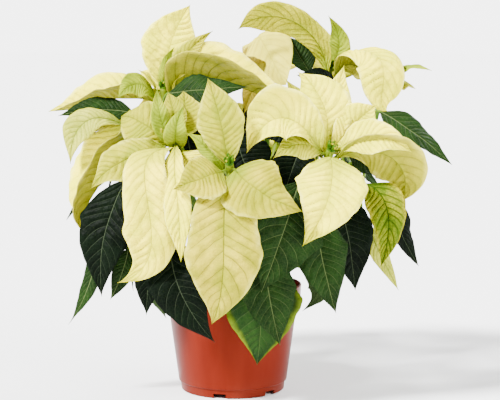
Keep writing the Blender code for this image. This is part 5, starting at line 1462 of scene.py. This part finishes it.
def flower_cluster(name, draw):
    """A head's cups on their cushion."""
    cover = Cover(["cup", "lip", "fringe"])
    axis = world(HEADS[name].lean)
    foot = head_point(name) + axis * GAP
    across = across_of(axis)
    cushion = [(POINT, 0.0), (CORE_RADIUS * 0.95, 0.0), (CORE_RADIUS, 0.5), (CORE_RADIUS * 0.8, 1.5), (POINT, 2.0)]
    lathed(cover, foot, axis, across, cushion, "cup")
    spots = list(ring(foot + axis, axis, across, FLOWER_CIRCLE, FLOWERS)) + [foot + axis * 1.4]
    for centre in spots:
        out = centre - foot - axis
        scatter = np.array([draw.uniform(-1, 1) for _ in range(3)]) * CUP_SCATTER
        lean = unit(axis + out * CUP_LEAN + scatter)
        beside = across_of(lean)
        tall = FLOWER_HEIGHT * draw.uniform(*CUP_TALLNESS)
        wide = FLOWER_WIDTH * 0.5 * draw.uniform(*CUP_WIDTHS)
        cup = [(POINT, 0.0), (wide * 0.45, 0.1)] + [(wide * r, tall * h) for r, h in CUP] + [(POINT, tall * 0.8)]
        lathed(cover, centre, lean, beside, cup, "cup", CUP_LOBE_DEPTH)
        fringe = [(POINT, tall * 0.82)] + [(wide * r, tall * h) for r, h in FRINGE] + [(POINT, tall * 0.98)]
        lathed(cover, centre, lean, beside, fringe, "fringe", FRINGE_LOBE_DEPTH)
        turns = [draw.uniform(0, 6.28) for _ in range(2)]
        side = unit(beside * math.cos(turns[0]) + np.cross(beside, lean) * math.sin(turns[1]))
        seat = centre + lean * tall * LIP_HEIGHT + side * wide * LIP_OUT
        lip_axis = unit(side + lean * LIP_RISE)
        lathed(cover, seat, lip_axis, across_of(lip_axis), LIP, "lip")
    piece = cover.piece("cyathia_" + name, FLOWER_FINISHES)
    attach(piece, "root")
    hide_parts("flowers_" + name)
    return piece


for name in HEADS:
    cluster = flower_cluster(name, detail_draw)
print("flower clusters:", len(HEADS), "last has", len(cluster.data.polygons), "faces")

# %% [markdown]
# ## The pot
#
# The nursery pot is injection moulded: one thin wall with a band under the rim, and a foot ring with
# notches that let water out. Its corners are slightly round, so the profile gets a small arc at each
# of them before it is turned. The notches and the drain holes are cut with a Boolean, as in the
# solid. The plastic is terracotta red and half glossy, with faint streaks from moulding, a fine
# grain and a little dust near the foot.

# %% Pot finish
POT_COLOUR, POT_STREAK, POT_DUST = (0.096, 0.0078, 0.0030), (0.12, 0.0115, 0.0048), (0.17, 0.035, 0.02)
DUST_TOP = 0.022
GRAIN_RELIEF = 0.0002


def pot_material():
    """Terracotta-coloured plastic, half glossy, with faint moulding streaks and scuffs."""
    made, tree, shader = new_material(
        "terracotta_plastic", ior=1.49, specular_ior_level=GLOSS, specular_tint=(1.0, 0.42, 0.3))
    place = object_place(tree)
    streaks = noise_of(tree, stretched(tree, place, (1.0, 1.0, 0.12)), 70.0, detail=3.0)
    clouds = noise_of(tree, place, 22.0, detail=4.0)
    colour = mix(tree, fade(tree, streaks, 0.3, 0.7, 0.0, 0.6), POT_COLOUR, POT_STREAK)
    low_down = fade(tree, parts_of(tree, place)[2], DUST_TOP, 0.0)
    dust = calc(tree, "MULTIPLY", low_down, fade(tree, clouds, 0.4, 0.7, 0.0, 0.35))
    set_inputs(shader, base_color=mix(tree, dust, colour, POT_DUST),
               roughness=fade(tree, clouds, 0.3, 0.7, 0.3, 0.4))
    grain = noise_of(tree, place, 900.0, detail=2.0)
    add_relief(tree, shader, calc(tree, "MULTIPLY_ADD", streaks, 1.5, grain), 0.12, GRAIN_RELIEF)
    return made


pot_finish = pot_material()
print("finish:", pot_finish.name)

# %% Make the pot
FINE_POT_SIDES = 144
CORNER_ROUND = 0.7
CORNER_STEPS = 4
NOTCH_DEPTH = 12
NOTCH_CENTRE = 1.5
DRAIN_HOLE_SIDES = 24
SHARP_ANGLE = 40


def rounded(profile):
    """A profile with a small arc at each corner between its ends."""
    made = [profile[0]]
    for before, corner, after in zip(profile, profile[1:], profile[2:]):
        before, corner, after = (np.array(p, dtype=float) for p in (before, corner, after))
        reach = min(CORNER_ROUND, 0.45 * np.linalg.norm(before - corner), 0.45 * np.linalg.norm(after - corner))
        start = corner + unit(before - corner) * reach
        end = corner + unit(after - corner) * reach
        for share in np.linspace(0, 1, CORNER_STEPS):
            made.append(tuple((1 - share) ** 2 * start + 2 * share * (1 - share) * corner + share ** 2 * end))
    made.append(profile[-1])
    return made


def mesh_piece(name, body, finish):
    """An object from millimetre points and faces, shaded smooth."""
    points, faces = body
    mesh = bpy.data.meshes.new(name)
    mesh.from_pydata((np.array(points) * MM).tolist(), [], [list(face) for face in faces])
    form = bmesh.new()
    form.from_mesh(mesh)
    bmesh.ops.recalc_face_normals(form, faces=form.faces)
    form.to_mesh(mesh)
    form.free()
    mesh.materials.append(finish)
    mesh.shade_smooth()
    thing = bpy.data.objects.new(name, mesh)
    bpy.context.scene.collection.objects.link(thing)
    return thing


def direction_at(angle):
    """A level direction at an angle round the pot."""
    return np.array([math.cos(angle), math.sin(angle), 0.0])


def box_body(centre, out, size):
    """A box with its first side along out and its last upright."""
    side = np.array([-out[1], out[0], 0.0])
    up = np.array([0.0, 0.0, 1.0])
    points = [centre + out * a * size[0] / 2 + side * b * size[1] / 2 + up * c * size[2] / 2
              for a in (-1, 1) for b in (-1, 1) for c in (-1, 1)]
    faces = [(0, 1, 3, 2), (4, 6, 7, 5), (0, 4, 5, 1), (2, 3, 7, 6), (0, 2, 6, 4), (1, 5, 7, 3)]
    return points, faces


outer, inner = pot_profile()
pot = mesh_piece("nursery_pot", capped_turned_body(rounded(outer + inner), FINE_POT_SIDES), pot_finish)
cutters = []
for degrees in NOTCH_ANGLES:
    out = direction_at(math.radians(degrees))
    notch = box_body(out * (POT_FOOT_RADIUS - NOTCH_CENTRE), out, (NOTCH_DEPTH, NOTCH_WIDTH, 2 * NOTCH_HEIGHT))
    cutters.append(mesh_piece("notch", notch, pot_finish))
for i in range(DRAIN_HOLES):
    centre = direction_at(2 * math.pi * (i + 0.5) / DRAIN_HOLES) * DRAIN_CIRCLE
    path = [centre + np.array([0, 0, z]) for z in (-1.0, FLOOR_TOP + 1.0)]
    drain = tube(path, (DRAIN_RADIUS, DRAIN_RADIUS), DRAIN_HOLE_SIDES)
    cutters.append(mesh_piece("drain", drain, pot_finish))
cutting = bpy.data.collections.new("pot_cutters")
for cutter in cutters:
    bpy.context.scene.collection.objects.unlink(cutter)
    cutting.objects.link(cutter)
cut = pot.modifiers.new("cut", "BOOLEAN")
cut.operation = "DIFFERENCE"
cut.operand_type = "COLLECTION"
cut.collection = cutting
cut.solver = "EXACT"
graph = bpy.context.evaluated_depsgraph_get()
graph.update()
cut_mesh = bpy.data.meshes.new_from_object(pot.evaluated_get(graph))
pot.modifiers.remove(cut)
pot.data = cut_mesh
for cutter in cutters:
    bpy.data.objects.remove(cutter)
bpy.data.collections.remove(cutting)
pot.data.materials.clear()
pot.data.materials.append(pot_finish)
pot.data.shade_smooth()
pot.data.set_sharp_from_angle(angle=math.radians(SHARP_ANGLE))
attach(pot, "root")
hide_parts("pot")
print("pot faces:", len(pot.data.polygons))

# %% [markdown]
# ## The soil
#
# Potting mix is a loose crumb of peat with bits of bark and white grains of perlite. The surface is
# displaced by noise at two scales, and a few hundred crumbs are half sunk in it. They are part of
# the same mesh, each one a small faceted lump of its own.

# %% Soil finishes
CRUMB_RELIEF = 0.001


def crumb_material(name, colour, second, scale):
    """A rough, crumbly surface."""
    made, tree, shader = new_material(name, roughness=0.95)
    crumbs = noise_of(tree, object_place(tree), scale, detail=6.0, roughness=0.7)
    set_inputs(shader, base_color=mix(tree, fade(tree, crumbs, 0.35, 0.65), colour, second))
    add_relief(tree, shader, crumbs, 0.8, CRUMB_RELIEF)
    return made


SOIL_FINISHES = [
    crumb_material("potting_mix", (0.016, 0.010, 0.007), (0.07, 0.045, 0.028), 420.0),
    crumb_material("bark_bits", (0.06, 0.03, 0.015), (0.14, 0.075, 0.035), 300.0),
    crumb_material("perlite", (0.55, 0.53, 0.48), (0.75, 0.73, 0.68), 500.0),
]
print("soil finishes:", [made.name for made in SOIL_FINISHES])

# %% Make the soil
SOIL_ROWS, SOIL_SIDES = 44, 150
CRUMBS = 520
# The soil's bumps: how many for each millimetre, where in the noise they are read, how high they are
BUMPS = ((0.09, 2.0, 1.4), (0.35, 7.0, 0.7), (1.1, 11.0, 0.35))
PERLITE = 2
CRUMB_SHARES = (6, 3, 2)
CRUMB_SIZE = (0.9, 2.4)
PERLITE_SIZE = (0.8, 1.6)
soil_draw = random.Random(SEED + 21)
soil_top = POT_HEIGHT - SOIL_DROP
hole = TRUNK_RADIUS + GAP
band_low, wall_high, wall_low, floor_edge = inner[1:]
soil_edge = band_low[0] - 2 * GAP - 0.5


def soil_height(x, y):
    """The height of the soil's rough surface over a point."""
    share = math.hypot(x, y) / soil_edge
    bumps = sum(noise.noise(Vector((x * scale, y * scale, level))) * height for scale, level, height in BUMPS)
    return soil_top + 1.0 + SOIL_MOUND * (1 - share) + bumps * min(1.0, 6 * (1 - share))


# Rings from the axis under the soil, up along the pot's wall, in over the rough top (where no height
# is given) to the hole for the stem, and back to the axis at its foot
rings = [(POINT, FLOOR_TOP + GAP), (floor_edge[0] - 2 * GAP, FLOOR_TOP + GAP),
         (wall_low[0] - 2 * GAP, wall_low[1] + 1), (wall_high[0] - 2 * GAP, wall_high[1])]
rings += [(soil_edge * (1 - i / SOIL_ROWS) + hole * i / SOIL_ROWS, None) for i in range(SOIL_ROWS + 1)]
rings += [(hole, TRUNK_FOOT - GAP), (POINT, TRUNK_FOOT - GAP)]
points = []
for radius, height in rings:
    for i in range(SOIL_SIDES):
        a = 2 * math.pi * i / SOIL_SIDES
        x, y = radius * math.cos(a), radius * math.sin(a)
        points.append((x, y, soil_height(x, y) if height is None else height))
faces = grid_faces(len(rings), SOIL_SIDES, closed=True)
soil = mesh_piece("soil_mix", (points, faces), SOIL_FINISHES[0])
for made in SOIL_FINISHES[1:]:
    soil.data.materials.append(made)
form = bmesh.new()
form.from_mesh(soil.data)
for i in range(CRUMBS):
    angle = soil_draw.uniform(0, 2 * math.pi)
    radius = math.sqrt(soil_draw.uniform(0.02, 0.94)) * soil_edge
    x, y = radius * math.cos(angle), radius * math.sin(angle)
    kind = soil_draw.choices((0, 1, PERLITE), CRUMB_SHARES)[0]
    size = soil_draw.uniform(*(PERLITE_SIZE if kind == PERLITE else CRUMB_SIZE))
    made = bmesh.ops.create_icosphere(form, subdivisions=1, radius=size * MM)["verts"]
    squash = Vector((soil_draw.uniform(0.7, 1.3), soil_draw.uniform(0.7, 1.3), soil_draw.uniform(0.5, 0.8)))
    spot = Vector((x, y, soil_height(x, y) + size * 0.15)) * MM
    for corner in made:
        rough = 1 + 0.3 * noise.noise(corner.co * 900 + Vector((i, 0, 0)))
        corner.co = spot + corner.co * squash * rough
    for face in {face for corner in made for face in corner.link_faces}:
        face.material_index = kind
form.to_mesh(soil.data)
form.free()
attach(soil, "root")
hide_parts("soil")
print("soil faces:", len(soil.data.polygons))

# %% [markdown]
# ## The main stem
#
# Below the branches the stem has turned woody: green-brown, dull, with rings where old leaves fell.
# Each branch leaves it from a short collar.

# %% Make the main stem
BARK_RELIEF = 0.0008
TRUNK_ROWS, TRUNK_SIDES = 60, 28
COLLAR_ROWS, COLLAR_SIDES = 8, 16
COLLAR_ROOT = 0.86
TRUNK_SHOULDER = 0.86
RING_STEP = 13


def bark_material():
    """Dull green-brown bark with streaks round it."""
    made, tree, shader = new_material("woody_stem", roughness=0.8)
    bark = noise_of(tree, stretched(tree, object_place(tree), (1.0, 1.0, 0.25)), 260.0, detail=5.0)
    set_inputs(shader, base_color=mix(tree, fade(tree, bark, 0.3, 0.7), (0.075, 0.07, 0.025), (0.19, 0.15, 0.07)))
    add_relief(tree, shader, bark, 0.6, BARK_RELIEF)
    return made


WOOD_FINISHES = {"bark": bark_material()}
wood = Cover(["bark"])
heights = np.linspace(TRUNK_FOOT, TRUNK_TOP, TRUNK_ROWS)
shares = (heights - TRUNK_FOOT) / (TRUNK_TOP - TRUNK_FOOT)
tapers = np.where(shares < TRUNK_SHOULDER, 1 - 0.12 * shares, 0.9 - 3.2 * (shares - TRUNK_SHOULDER))
scars = 0.35 * np.exp(-((heights % RING_STEP - RING_STEP / 2) / 1.2) ** 2) * (shares < 0.8)
radii = (TRUNK_RADIUS - 0.3) * tapers + scars
fine_tube(wood, [np.array([0.0, 0.0, z]) for z in heights], radii, TRUNK_SIDES, "bark")
for name in HEADS:
    end, out = collar_end(name)
    path = [end - out * COLLAR_REACH * share for share in np.linspace(COLLAR_ROOT, 0.0, COLLAR_ROWS)]
    foot_swell = 1.0 + 0.2 * np.linspace(1, 0, COLLAR_ROWS) ** 2
    lip_swell = 0.3 * np.exp(-((np.linspace(0, 1, COLLAR_ROWS) - 0.8) / 0.1) ** 2)
    fine_tube(wood, path, STEM_RADIUS[0] * foot_swell + lip_swell, COLLAR_SIDES, "bark")
trunk = wood.piece("woody_stem", WOOD_FINISHES)
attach(trunk, "root")
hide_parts("main_stem")
print("stem faces:", len(trunk.data.polygons))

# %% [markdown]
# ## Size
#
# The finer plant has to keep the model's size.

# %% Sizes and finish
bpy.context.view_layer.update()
total = sum(len(o.data.polygons) for o in bpy.data.objects if o.type == "MESH" and not o.hide_render)
